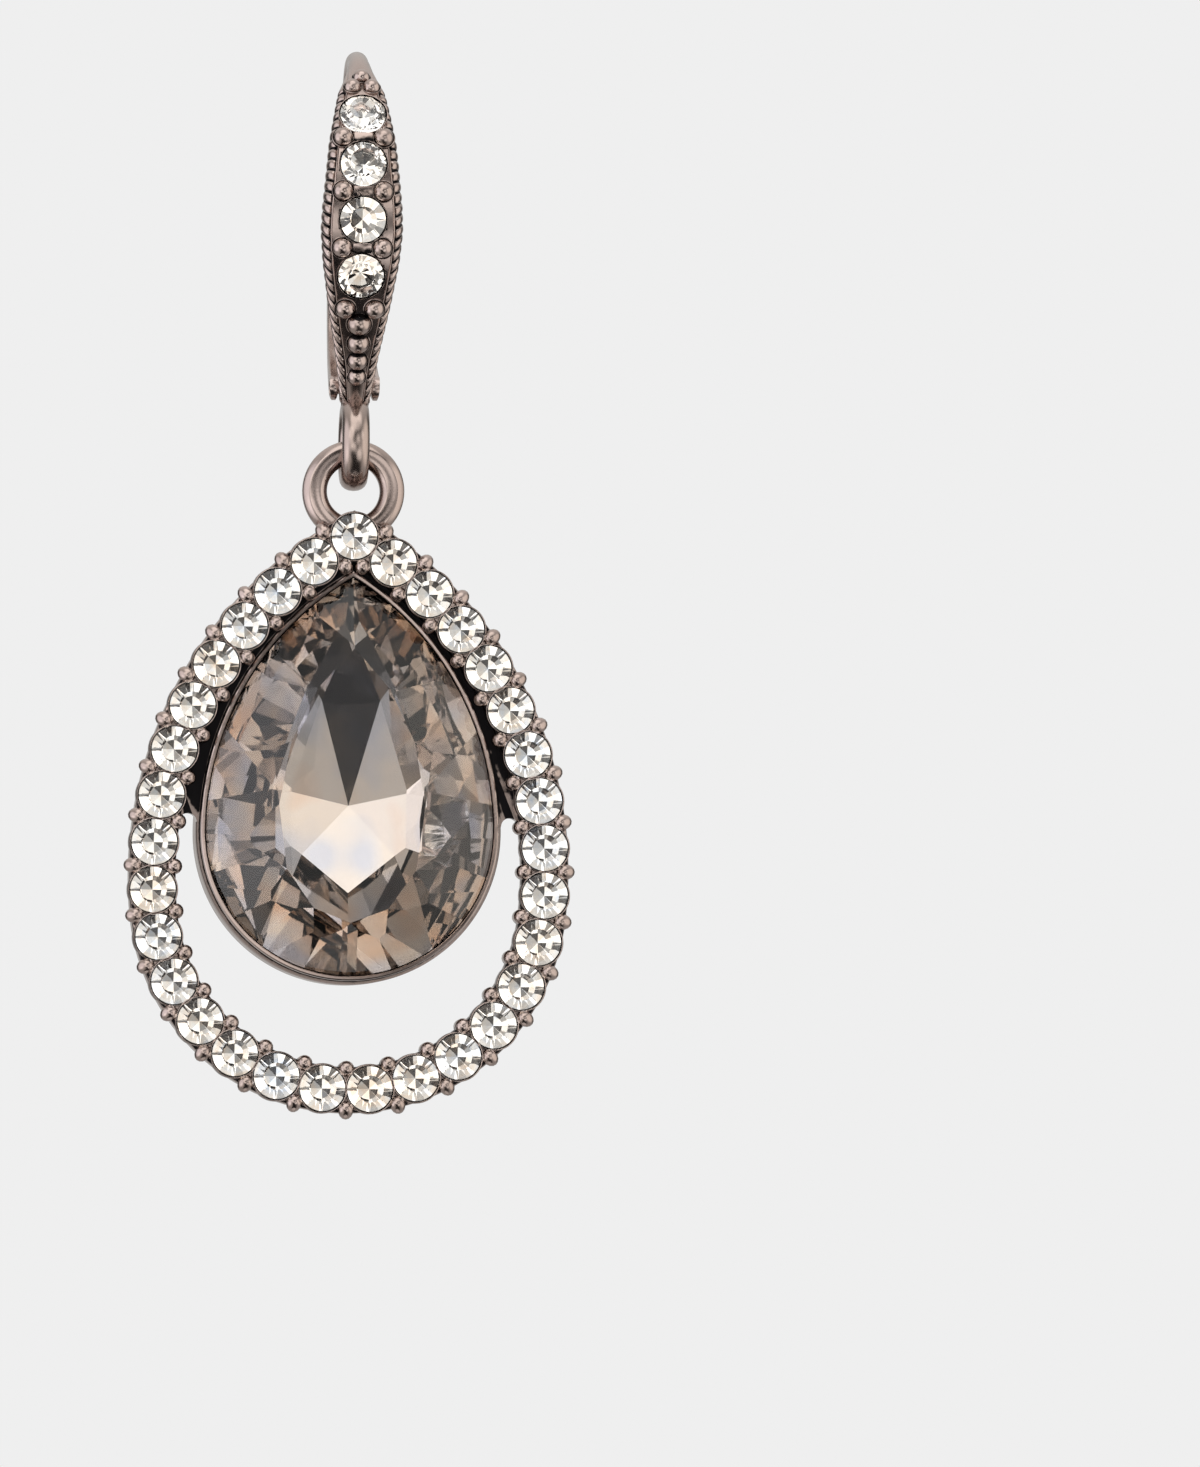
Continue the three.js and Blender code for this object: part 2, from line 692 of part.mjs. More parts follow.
addPiece("ear_hook", geometryOf(earHook()), metal);
addPiece("hinge_pin", crossBar(pinRadius, leverWidth, pin.y, pin.z), metal);
addPiece("lever", geometryOf(lever()), metal);
hookStones.forEach((distance, k) => {
  addPiece(`hook_stone_${k + 1}`, onFace(chaton(), distance), clearCrystal);
});
addPiece("drop_frame", geometryOf(dropFrame()), metal);
addPiece("pear_stone", pearStone(), smokyCrystal);
haloPlaces(0).forEach((place, k) => {
  const name = `halo_stone_${String(k + 1).padStart(2, "0")}`;
  addPiece(name, chaton().translate(place.x, bandFace, haloCentreZ + place.z), clearCrystal);
});

export default earring;
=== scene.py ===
# %% [markdown]
# # A teardrop earring with a hinged lever back
#
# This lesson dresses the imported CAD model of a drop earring: a hook with a curved front shield,
# a lever that closes its back, and a drop with a large pear-shaped stone inside a band of small
# round ones. The CAD model fixes every size and place. Here each piece gets the softness of a
# polished casting, the flat cuts of a ground stone, and a finish made from nodes.
#
# Everything is in metres, in the frame of the CAD model: X to the side, -Y to the front that
# shows, Z up. The ear wire's axis at the top of its arch is the origin.

# %% Load the frame
import json
import math

import bpy
from mathutils import Matrix, Vector


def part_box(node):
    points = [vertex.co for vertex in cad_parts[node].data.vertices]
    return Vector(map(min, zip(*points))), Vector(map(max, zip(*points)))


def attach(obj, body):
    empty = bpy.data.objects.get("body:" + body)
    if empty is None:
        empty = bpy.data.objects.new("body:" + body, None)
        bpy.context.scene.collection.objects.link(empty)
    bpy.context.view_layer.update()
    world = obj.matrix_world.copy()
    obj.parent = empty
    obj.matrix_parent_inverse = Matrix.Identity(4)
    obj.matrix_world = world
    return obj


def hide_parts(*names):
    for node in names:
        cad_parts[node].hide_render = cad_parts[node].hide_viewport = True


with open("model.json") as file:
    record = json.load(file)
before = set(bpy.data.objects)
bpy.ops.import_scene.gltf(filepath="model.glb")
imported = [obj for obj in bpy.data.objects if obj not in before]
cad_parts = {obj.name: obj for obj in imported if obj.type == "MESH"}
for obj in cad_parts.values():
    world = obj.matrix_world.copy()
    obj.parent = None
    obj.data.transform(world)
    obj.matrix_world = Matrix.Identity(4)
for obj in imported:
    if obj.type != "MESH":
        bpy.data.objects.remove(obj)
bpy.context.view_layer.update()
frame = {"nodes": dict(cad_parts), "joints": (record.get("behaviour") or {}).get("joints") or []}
MM = 0.001
HOOK, LEVER, DROP = "hook", "lever", "drop"
HALO = sorted(name for name in frame["nodes"] if name.startswith("halo_stone"))
HOOK_STONES = sorted(name for name in frame["nodes"] if name.startswith("hook_stone"))

# %% [markdown]
# ## Sizes
#
# Most places come from the frame: a stone's box gives its centre, and the hinge positions give
# the pin and the bar that the drop hangs by. What no box tells, such as the thickness of a rim, is
# named here once, in millimetres, as a jeweller would measure it. The small round stones with a
# foiled back are called chatons in the trade, and so they are here.

# %% Read the places
def box_mm(node):
    """The low and the high corner of a CAD node's box, in millimetres."""
    low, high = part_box(node)
    return low / MM, high / MM


joint_at = {j["name"]: Vector(j["pos_m"]) / MM for j in frame["joints"]}
pin = joint_at["lever_hinge"]
hang_bar = joint_at["drop_swing"]
pear_low, pear_high = box_mm("pear_stone")
stone_low, stone_high = box_mm(HALO[0])

chaton_radius = (stone_high.x - stone_low.x) / 2
chaton_crown = 0.42
chaton_girdle = 0.08
chaton_depth = stone_high.y - stone_low.y
seat_clearance = 0.05
band_face = stone_low.y + chaton_crown
print("round stones", round(2 * chaton_radius, 2), "mm wide,", len(HALO), "in the band")

# %% [markdown]
# ## Helpers for every step
#
# An operator acts on all that is selected, and the loaded model is selected all over. So each
# piece begins with nothing selected, and ends with its place inside its mesh and its object at the
# origin. What castings need again and again gets a helper here: a round rod, a copy, a join, a cut
# by a boolean, a merge of what lies together, and shading that keeps sharp edges sharp.

# %% Begin, name and settle a piece
AXIS_TURN = {"x": (0, math.pi / 2, 0), "y": (math.pi / 2, 0, 0), "z": (0, 0, 0)}
merge_within = 0.001


def start():
    """Back to object mode with nothing selected, so that the next primitive stands alone."""
    if bpy.context.object and bpy.context.object.mode != "OBJECT":
        bpy.ops.object.mode_set(mode="OBJECT")
    bpy.ops.object.select_all(action="DESELECT")


def named(name):
    """The primitive that was just added, under a name of its own."""
    piece = bpy.context.object
    piece.name = name
    piece.data.name = name
    return piece


def choose(piece):
    """Make one piece the only selected and active one."""
    start()
    piece.select_set(True)
    bpy.context.view_layer.objects.active = piece
    return piece


def settle(piece):
    """Put the piece's place into its mesh, so that its object sits at the origin."""
    choose(piece)
    bpy.ops.object.transform_apply(location=True, rotation=True, scale=True)
    return piece


def rod(name, radius, length, place=(0, 0, 0), axis="y", sides=40):
    """A round rod along an axis, with its sizes and the place of its middle in millimetres."""
    start()
    bpy.ops.mesh.primitive_cylinder_add(
        vertices=sides,
        radius=radius * MM,
        depth=length * MM,
        location=Vector(place) * MM,
        rotation=AXIS_TURN[axis],
    )
    return settle(named(name))


print("nodes of the CAD model:", len(frame["nodes"]))

# %% Shade, merge, copy, join and cut
def smooth(piece, degrees):
    """Shade smooth, except across edges that turn by more than so many degrees."""
    choose(piece)
    bpy.ops.object.shade_smooth_by_angle(angle=math.radians(degrees))
    return piece


def outward(piece):
    """Merge what lies together and turn every face outwards."""
    choose(piece)
    bpy.ops.object.mode_set(mode="EDIT")
    bpy.ops.mesh.select_all(action="SELECT")
    bpy.ops.mesh.remove_doubles(threshold=merge_within * MM)
    bpy.ops.mesh.normals_make_consistent(inside=False)
    bpy.ops.object.mode_set(mode="OBJECT")
    return piece


def copy_of(piece, name, matrix):
    """A copy with a mesh of its own, moved by a matrix that ends up in the mesh."""
    twin = piece.copy()
    twin.data = piece.data.copy()
    twin.name = name
    twin.data.name = name
    bpy.context.scene.collection.objects.link(twin)
    twin.data.transform(matrix)
    return twin


def joined(pieces, name):
    """Several pieces as one object."""
    choose(pieces[0])
    for piece in pieces:
        piece.select_set(True)
    if len(pieces) > 1:
        bpy.ops.object.join()
    pieces[0].name = name
    pieces[0].data.name = name
    return pieces[0]


def carve(piece, tools, operation="DIFFERENCE"):
    """Cut a piece with tools, or fuse them, by boolean modifiers that are applied."""
    for tool in tools:
        choose(piece)
        modifier = piece.modifiers.new("cut", "BOOLEAN")
        modifier.operation = operation
        modifier.solver = "EXACT"
        modifier.object = tool
        bpy.ops.object.modifier_apply(modifier=modifier.name)
        bpy.data.objects.remove(tool)
    return piece


def finish(piece, body, nodes=()):
    """The last step for each piece: its body and the CAD nodes it stands for."""
    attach(piece, body)
    if nodes:
        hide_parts(*nodes)
    return piece


print("stones to set:", len(HALO) + len(HOOK_STONES), "small ones and a large one")

# %% [markdown]
# ## Finishes
#
# The casting is plated a warm, dark grey and polished, then blackened, and the black is wiped off
# all that stands proud. So one metal carries two looks. Each mesh stores a number at every point,
# 0 on bare polish and 1 where it is black, and the material mixes the polish with the black by it.
# That black is partly the patina of the hollows and partly painted shade: it also darkens slots,
# gaps round the stones, inner walls and the tops of beads that sit under others. Slow noise keeps
# the polish from being one flat tone, and fine noise gives the tiny scratches of handling.

# %% Colours and finish values
POLISH = (0.40, 0.325, 0.30)
POLISH_WARM = (0.35, 0.28, 0.25)
# The black of the patina, which also serves as painted shade in hollows and gaps.
BLACK_PATINA_AND_SHADE = (0.012, 0.011, 0.012)
polish_roughness = (0.13, 0.25)
black_roughness = 0.42
tone_grain = 260
shine_grain = 700
# Noise that makes the edge of the black, patina and painted shade alike, ragged.
edge_noise_grain = 2600
edge_ragged = 0.22
scratch_grain = 5200
scratch_depth = 0.02


def new_material(name):
    """An empty node tree with a Principled shader already wired to the output."""
    material = bpy.data.materials.new(name)
    material.use_nodes = True
    tree = material.node_tree
    tree.nodes.clear()
    output = tree.nodes.new("ShaderNodeOutputMaterial")
    shader = tree.nodes.new("ShaderNodeBsdfPrincipled")
    tree.links.new(shader.outputs["BSDF"], output.inputs["Surface"])
    return material, tree, shader


def noise(tree, scale, detail=3.0):
    """Noise that is fixed to the piece, with its grain set in repeats per metre."""
    place = tree.nodes.new("ShaderNodeTexCoord")
    texture = tree.nodes.new("ShaderNodeTexNoise")
    texture.inputs["Scale"].default_value = scale
    texture.inputs["Detail"].default_value = detail
    tree.links.new(place.outputs["Object"], texture.inputs["Vector"])
    return texture.outputs["Fac"]


def between(tree, factor, low, high, start_at=0.0, end_at=1.0):
    """A value that runs from low to high as the factor runs from start_at to end_at."""
    ramp = tree.nodes.new("ShaderNodeMapRange")
    ramp.inputs["From Min"].default_value = start_at
    ramp.inputs["From Max"].default_value = end_at
    ramp.inputs["To Min"].default_value = low
    ramp.inputs["To Max"].default_value = high
    tree.links.new(factor, ramp.inputs["Value"])
    return ramp.outputs["Result"]


def blended(tree, factor, first, second):
    """Mix two colours, each a constant or the output of another node."""
    mix = tree.nodes.new("ShaderNodeMix")
    mix.data_type = "RGBA"
    for socket, colour in ((mix.inputs["A"], first), (mix.inputs["B"], second)):
        if isinstance(colour, tuple):
            socket.default_value = (*colour, 1)
        else:
            tree.links.new(colour, socket)
    tree.links.new(factor, mix.inputs["Factor"])
    return mix.outputs["Result"]


def bumped(tree, shader, height, strength, depth):
    """Let a height in metres tilt the surface, as fine scratches do."""
    bump = tree.nodes.new("ShaderNodeBump")
    bump.inputs["Strength"].default_value = strength
    bump.inputs["Distance"].default_value = depth
    tree.links.new(height, bump.inputs["Height"])
    tree.links.new(bump.outputs["Normal"], shader.inputs["Normal"])


print("roughness of the polish:", polish_roughness, "and of the black:", black_roughness)

# %% The plated and blackened metal, whose black is also painted shade
def gunmetal():
    """Polish and black, mixed by the stored patina and painted shade; noise makes the black's edge
    ragged.
    """
    material, tree, shader = new_material("gunmetal_plating")
    patina_shade = tree.nodes.new("ShaderNodeAttribute")
    patina_shade.attribute_name = "patina_shade"
    edge_noise = noise(tree, edge_noise_grain, 4)
    edge = tree.nodes.new("ShaderNodeMath")
    edge.operation = "ADD"
    tree.links.new(patina_shade.outputs["Fac"], edge.inputs[0])
    tree.links.new(between(tree, edge_noise, -edge_ragged, edge_ragged, 0.3, 0.7), edge.inputs[1])
    black = between(tree, edge.outputs["Value"], 0, 1, 0.35, 0.65)
    patches = between(tree, noise(tree, tone_grain), 0, 1, 0.35, 0.65)
    tone = blended(tree, patches, POLISH, POLISH_WARM)
    tree.links.new(blended(tree, black, tone, BLACK_PATINA_AND_SHADE), shader.inputs["Base Color"])
    shine = between(tree, noise(tree, shine_grain), *polish_roughness, 0.3, 0.7)
    rough = tree.nodes.new("ShaderNodeMix")
    tree.links.new(black, rough.inputs["Factor"])
    tree.links.new(shine, rough.inputs["A"])
    rough.inputs["B"].default_value = black_roughness
    tree.links.new(rough.outputs["Result"], shader.inputs["Roughness"])
    shader.inputs["Metallic"].default_value = 1.0
    bumped(tree, shader, noise(tree, scratch_grain, 2), 0.12, scratch_depth * MM)
    return material


def plated(piece, degrees):
    """Give a casting the plated metal, and shade it smooth."""
    piece.data.materials.append(METAL)
    return smooth(piece, degrees)


METAL = gunmetal()
print("metal finish:", METAL.name)

# %% [markdown]
# The stones are glass with a silver foil fired on the back, which is why they throw light back
# even in a closed setting. So each has two finishes: clear glass on the table, crown and girdle,
# and a mirror on the facets behind, which is seen through the glass. The large stone is the same
# glass with a grey-brown tint. Faint clouds of colour in the foil give the small warm and cool
# flashes.

# %% Glass and foil
GLASS = (0.99, 0.982, 0.968)
FOIL = (0.98, 0.967, 0.945)
FOIL_WARM = (0.96, 0.88, 0.80)
FOIL_COOL = (0.86, 0.90, 0.96)
SMOKE = (0.84, 0.80, 0.765)
SMOKE_FOIL = (0.64, 0.595, 0.555)
SMOKE_WARM = (0.66, 0.52, 0.42)
SMOKE_COOL = (0.50, 0.52, 0.58)
glass_ior = 1.56
foil_roughness = 0.02
clarity_grain = 900
chaton_cloud_grain = 1500
pear_cloud_grain = 330


def glass(name, colour):
    """Clear glass whose tint varies by a few hundredths."""
    material, tree, shader = new_material(name)
    clarity = between(tree, noise(tree, clarity_grain), 0.94, 1.0, 0.3, 0.7)
    shade = tuple(c * 0.96 for c in colour)
    tree.links.new(blended(tree, clarity, shade, colour), shader.inputs["Base Color"])
    shader.inputs["Transmission Weight"].default_value = 1.0
    shader.inputs["IOR"].default_value = glass_ior
    shader.inputs["Roughness"].default_value = 0.0
    return material


def foil(name, colour, warm, cool, cloud_grain):
    """A mirror with faint clouds of a warm and of a cool tint."""
    material, tree, shader = new_material(name)
    clouds = noise(tree, cloud_grain, 1)
    tint = blended(tree, between(tree, clouds, 0, 1, 0.52, 0.7), colour, warm)
    tint = blended(tree, between(tree, clouds, 1, 0, 0.3, 0.45), tint, cool)
    tree.links.new(tint, shader.inputs["Base Color"])
    shader.inputs["Metallic"].default_value = 1.0
    shader.inputs["Roughness"].default_value = foil_roughness
    return material


CLEAR = glass("clear_glass", GLASS)
CLEAR_FOIL = foil("clear_foil", FOIL, FOIL_WARM, FOIL_COOL, chaton_cloud_grain)
SMOKY = glass("smoky_glass", SMOKE)
DARK_FOIL = foil("smoky_foil", SMOKE_FOIL, SMOKE_WARM, SMOKE_COOL, pear_cloud_grain)
print("stone finishes:", CLEAR.name, CLEAR_FOIL.name, SMOKY.name, DARK_FOIL.name)

# %% [markdown]
# ## The small round stones
#
# A cutter grinds a stone by holding it against a flat wheel, and every flat is a facet. The bisect
# tool does the same: it cuts everything off outside a plane and fills the wound with one flat face.
# So a rough cylinder is cut by one plane for each facet, which gives crisp edges and real facets
# that no bump could. One stone is cut, and the others are copies, each with its own mesh.

# %% A tool that grinds one facet
GRIND_TOLERANCE = 1e-7


def grind(point, normal):
    """Cut off all that lies outside a plane, and close the wound with one flat face."""
    bpy.ops.mesh.select_all(action="SELECT")
    bpy.ops.mesh.bisect(
        plane_co=point, plane_no=normal, use_fill=True, clear_outer=True, threshold=GRIND_TOLERANCE
    )


def around_axis(turn, height, radius):
    """A point round the stone's axis, in metres; height is towards the front."""
    return Vector((radius * math.cos(turn), -height, radius * math.sin(turn))) * MM


def sloped(turn, tilt):
    """The outward direction of a facet: tilt 0 faces the front, 90 the side, above 90 the back."""
    side = math.sin(math.radians(tilt))
    return Vector((side * math.cos(turn), -math.cos(math.radians(tilt)), side * math.sin(turn)))


print("a facet tilted by 45 degrees looks along", [round(c, 2) for c in sloped(0, 45)])

# %% Cut one round stone
chaton_table_share = 0.60
chaton_mains = 8
main_tilt = 40.0
upper_tilt = 45.0
pavilion_tilt = 180 - 43.5


def round_stone():
    """A cylinder, ground to a table, eight main and sixteen upper facets, and eight behind."""
    back = chaton_depth - chaton_crown
    middle = (0, (back - chaton_crown) / 2, 0)
    stone = rod("round_stone", chaton_radius, chaton_depth, middle, sides=64)
    table = chaton_table_share * chaton_radius
    bpy.ops.object.mode_set(mode="EDIT")
    step = 2 * math.pi / chaton_mains
    for k in range(chaton_mains):
        turn = (k + 0.5) * step
        grind(around_axis(turn, chaton_crown, table), sloped(turn, main_tilt))
        grind(around_axis(turn, -back, 0), sloped(turn, pavilion_tilt))
        for half in (turn - step / 4, turn + step / 4):
            grind(around_axis(half, 0, chaton_radius), sloped(half, upper_tilt))
    bpy.ops.object.mode_set(mode="OBJECT")
    return outward(stone)


def dress_stone(stone, clear, mirror, girdle_back):
    """Glass in front of the girdle's back edge, foil behind it."""
    stone.data.materials.append(clear)
    stone.data.materials.append(mirror)
    for face in stone.data.polygons:
        face.use_smooth = False
        behind = face.center.y > girdle_back * MM and face.normal.y > 0.05
        face.material_index = 1 if behind else 0


master_stone = round_stone()
dress_stone(master_stone, CLEAR, CLEAR_FOIL, chaton_girdle)
print("round stone:", len(master_stone.data.polygons), "faces")

# %% [markdown]
# A setter lays each stone in its seat and levels its table. Here the CAD stone tells both: its
# largest face is the table, which gives the place and the lean, and a copy of the cut stone is
# moved there by one matrix. The stones of the hook lean more and more, as the shield curves.

# %% Set the stones of the band and of the hook
def facing(node):
    """A leaning stone's outward direction and the middle of its table, in millimetres."""
    areas = {}
    for face in frame["nodes"][node].data.polygons:
        key = tuple(round(c, 3) for c in face.normal)
        area, total = areas.get(key, (0, Vector()))
        areas[key] = (area + face.area, total + face.center * face.area)
    key = max(areas, key=lambda k: areas[k][0])
    area, total = areas[key]
    return Vector(key).normalized(), total / area / MM


def set_stone(node, body):
    """A copy of the cut stone in place of a CAD node; returns how and where it is set."""
    normal, table = facing(node)
    lean = math.atan2(normal.z, -normal.y)
    girdle = table - normal * chaton_crown
    matrix = Matrix.Translation(girdle * MM) @ Matrix.Rotation(-lean, 4, "X")
    stone = copy_of(master_stone, node + "_cut", matrix)
    finish(stone, body, [node])
    return {"lean": lean, "girdle": girdle, "matrix": matrix}


halo_places = [set_stone(node, DROP)["girdle"] for node in HALO]
hook_places = [set_stone(node, HOOK) for node in HOOK_STONES]
bpy.data.objects.remove(master_stone)
print("leans of the hook's stones:", [round(math.degrees(p["lean"]), 1) for p in hook_places])

# %% [markdown]
# ## The large pear-shaped stone
#
# Its outline is two arcs: a round bottom, and flatter sides that run up to the tip. A flat outline
# of many corners is extruded to a thick plate, and that plate is ground like the small stones. Each
# facet's plane is laid through three meeting points, as a cutter's plan gives them: corners of the
# table, meeting points half way down the crown, and points of the girdle. Behind, six wide facets
# meet in the culet and twelve steeper ones fill up to the girdle.

# %% The pear's outline
pear_radius = (pear_high.x - pear_low.x) / 2
pear_tip = pear_high.z - pear_low.z - pear_radius
pear_centre = Vector((0, 0, pear_low.z + pear_radius))


class Teardrop:
    """A bottom arc and two side arcs that meet in a tip; millimetres from the bottom's centre."""

    def __init__(self, bottom, side, side_x, side_z):
        self.bottom, self.side, self.side_x, self.side_z = bottom, side, side_x, side_z
        self.join = math.atan2(-side_z, -side_x)

    def line(self, steps, offset=0.0):
        """Points round the line at an offset: from the tip down the right side and up the left."""
        tip = math.acos(-self.side_x / (self.side + offset))
        side_length = self.side * (tip - self.join)
        bottom_length = self.bottom * (math.pi / 2 + self.join)
        total = side_length + bottom_length
        right = []
        for k in range(steps // 2 + 1):
            run = total * k / (steps // 2)
            if run < side_length:
                turn, radius = tip - run / self.side, self.side + offset
                x, z = self.side_x, self.side_z
            else:
                turn, radius = self.join - (run - side_length) / self.bottom, self.bottom + offset
                x, z = 0, 0
            right.append((x + radius * math.cos(turn), z + radius * math.sin(turn), turn))
        left = [(-x, z, math.pi - turn) for x, z, turn in reversed(right[1:-1])]
        return right + left


pear_side = (pear_tip**2 + pear_radius**2) / (2 * pear_radius)
pear = Teardrop(pear_radius, pear_side, pear_radius - pear_side, 0.0)
print("pear stone", round(2 * pear_radius, 2), "by", round(pear_tip + pear_radius, 2), "mm")

# %% Meeting points of its facets
pear_crown = 1.9
pear_girdle = 0.25
pear_depth = pear_high.y - pear_low.y
pear_girdle_y = pear_low.y + pear_crown
culet_rise = 1.2
middle_share = 0.56
middle_height = 0.62
pear_corners = 240
main_end = 0.05

# Half of the table's corners, and of the meeting points behind. Each row gives x as a share of
# half the width, and z as a share of the tip's height, or below zero of the bottom's depth. A point
# behind also gives its depth, and the shares of the girdle where its two facets begin, meet and end.
TABLE_CORNERS = [
    {"x": 0.00, "z": 0.72},
    {"x": 0.25, "z": 0.56},
    {"x": 0.43, "z": 0.35},
    {"x": 0.51, "z": 0.10},
    {"x": 0.45, "z": -0.27},
    {"x": 0.26, "z": -0.54},
    {"x": 0.00, "z": -0.64},
]
BACK_POINTS = [
    {"x": 0.205, "z": 0.52, "depth": 0.59, "from": 0.00, "over": 0.09, "to": 0.19},
    {"x": 0.400, "z": 0.155, "depth": 0.78, "from": 0.19, "over": 0.26, "to": 0.33},
    {"x": 0.325, "z": -0.16, "depth": 0.78, "from": 0.33, "over": 0.415, "to": 0.50},
]


def pear_point(row, y, mirror=1):
    """The point that a row of shares stands for, in millimetres round the pear's centre."""
    z = row["z"] * (pear_tip if row["z"] > 0 else pear_radius)
    return Vector((mirror * row["x"] * pear_radius, y, z))


def pear_edge(share, y):
    """A point of the girdle at a share of the way round, from the tip down the right side."""
    steps = 2 * pear_corners
    x, z, _ = pear.line(steps)[round(share * steps) % steps]
    return Vector((x, y, z))


def grind_through(a, b, c):
    """Grind the plane through three points given in millimetres round the pear's centre."""
    normal = (b - a).cross(c - a).normalized()
    if normal.dot(Vector((0, pear_girdle, 0)) - a) > 0:
        normal = -normal
    shift = pear_centre + Vector((0, pear_girdle_y, 0))
    grind((a + shift) * MM, normal)


print("corners of the table:", 2 * len(TABLE_CORNERS) - 2, "points behind:", 2 * len(BACK_POINTS))

# %% Cut the pear stone
def pear_stone():
    """The pear's plate, ground from the table outwards and then behind."""
    outline = pear.line(pear_corners)
    start()
    bpy.ops.mesh.primitive_circle_add(
        vertices=pear_corners, radius=pear_radius * MM, fill_type="NGON"
    )
    stone = named("pear_stone_cut")
    for vertex, (x, z, _) in zip(stone.data.vertices, outline):
        vertex.co = Vector((x, pear_low.y, z + pear_centre.z)) * MM
    bpy.ops.object.mode_set(mode="EDIT")
    bpy.ops.mesh.select_all(action="SELECT")
    bpy.ops.mesh.extrude_region_move(TRANSFORM_OT_translate={"value": (0, pear_depth * MM, 0)})
    table = [pear_point(row, -pear_crown) for row in TABLE_CORNERS]
    table += [pear_point(row, -pear_crown, -1) for row in TABLE_CORNERS[-2:0:-1]]
    count = len(table)
    middles = []
    for k in range(count):
        edge, top = pear_edge((k + 0.5) / count, 0), (table[k] + table[(k + 1) % count]) / 2
        middle = edge.lerp(Vector((top.x, 0, top.z)), middle_share)
        middle.y = -pear_crown * middle_height
        middles.append(middle)
    for k in range(count):
        corner, here = table[k], pear_edge(k / count, main_end)
        if k == 0:
            grind_through(corner, middles[0], here)
            grind_through(corner, middles[-1], here)
        else:
            after, before = ((k + near) / count for near in (0.1, -0.1))
            along = pear_edge(after, main_end) - pear_edge(before, main_end)
            grind_through(corner, here, here + along)
        grind_through(corner, table[(k + 1) % count], middles[k])
        for a, b in ((k, k + 0.5), (k + 0.5, k + 1)):
            grind_through(middles[k], pear_edge(a / count, 0), pear_edge(b / count, 0))
    deepest = pear_depth - pear_crown
    culet = Vector((0, deepest, culet_rise))
    for mirror in (1, -1):
        corners = []
        for row in BACK_POINTS:
            depth = pear_girdle + row["depth"] * (deepest - pear_girdle)
            corners.append(pear_point(row, depth, mirror))
            for a, b in (("from", "over"), ("over", "to")):
                ends = [pear_edge((mirror * row[s]) % 1, pear_girdle) for s in (a, b)]
                grind_through(corners[-1], *ends)
        for a, b in ((0, 1), (1, 2)):
            grind_through(culet, corners[a], corners[b])
    for row in (0, 2):
        point = corners[row]
        grind_through(culet, point, Vector((-point.x, point.y, point.z)))
    bpy.ops.object.mode_set(mode="OBJECT")
    return outward(stone)


big_stone = pear_stone()
dress_stone(big_stone, SMOKY, DARK_FOIL, pear_girdle_y + pear_girdle)
finish(big_stone, DROP, ["pear_stone"])
print("pear stone:", len(big_stone.data.polygons), "faces")

# %% [markdown]
# ## The drop's band and cup
#
# Both follow a teardrop line with the same cross-section all the way round. A ring of vertices is
# laid on the line at the first corner of the section, and each extrusion makes the next ring, which
# is pressed to the next corner. A band closes on its first ring. A cup starts and ends in a flat
# face instead, which gives its floor an outside and an inside. Its corners get a rounding for a
# polished edge, and each row keeps its black: patina where the cloth can't reach, and painted shade
# in the hollows.

# %% Rings pressed along a teardrop line
def circle_through(a, b, c):
    """Centre and radius of the circle through three points, in X and Z."""
    (ax, az), (bx, bz), (cx, cz) = ((p.x, p.z) for p in (a, b, c))
    d = 2 * (ax * (bz - cz) + bx * (cz - az) + cx * (az - bz))
    aa, bb, cc = ax * ax + az * az, bx * bx + bz * bz, cx * cx + cz * cz
    x = (aa * (bz - cz) + bb * (cz - az) + cc * (az - bz)) / d
    z = (aa * (cx - bx) + bb * (ax - cx) + cc * (bx - ax)) / d
    return x, z, math.hypot(ax - x, az - z)


# The band's line comes from its own stones: three of the bottom arc and three of one side.
_, halo_z, halo_bottom = circle_through(*(halo_places[k] for k in (13, 15, 18)))
side_x, side_z, halo_side = circle_through(*(halo_places[k] for k in (1, 4, 7)))
halo = Teardrop(halo_bottom, halo_side, side_x, side_z - halo_z)
halo_centre = Vector((0, 0, halo_z))


def clamped(value):
    """The value, kept between 0 and 1."""
    return max(0.0, min(1.0, value))


def patina_shade_of(piece):
    """The stored black of patina and painted shade, one value for each vertex; made where a piece
    has none.
    """
    layers = piece.data.attributes
    return (layers.get("patina_shade") or layers.new("patina_shade", "FLOAT", "POINT")).data


def set_patina_shade(piece, black):
    """Store how black each point is, as patina and painted shade: black(point in mm) gives 0 to 1.
    """
    for value, vertex in zip(patina_shade_of(piece), piece.data.vertices):
        value.value = clamped(black(vertex.co / MM))
    return piece


def swept(name, drop, centre, section, steps, closed=True):
    """A ring of vertices extruded through the section's rows of offset, depth and black."""
    start()
    fill = "NOTHING" if closed else "NGON"
    bpy.ops.mesh.primitive_circle_add(vertices=steps, radius=MM, fill_type=fill)
    piece = named(name)
    patina_shade_of(piece)
    ring = {tuple(v.co): k for k, v in enumerate(piece.data.vertices)}
    for level, row in enumerate(section + section[:1] if closed else section):
        if level:
            bpy.ops.object.mode_set(mode="EDIT")
            if level == 1:
                bpy.ops.mesh.select_all(action="SELECT")
            bpy.ops.mesh.extrude_region_move()
            bpy.ops.object.mode_set(mode="OBJECT")
        line = drop.line(steps, row["out"])
        patina_shade = patina_shade_of(piece)
        moved = {}
        for vertex in piece.data.vertices:
            if level == 0 or vertex.select:
                place = ring[tuple(vertex.co)]
                x, z, _ = line[place]
                vertex.co = (centre + Vector((x, row["y"], z))) * MM
                moved[tuple(vertex.co)] = place
                patina_shade[vertex.index].value = row.get("black", 0.0)
        ring = moved
    return outward(piece)


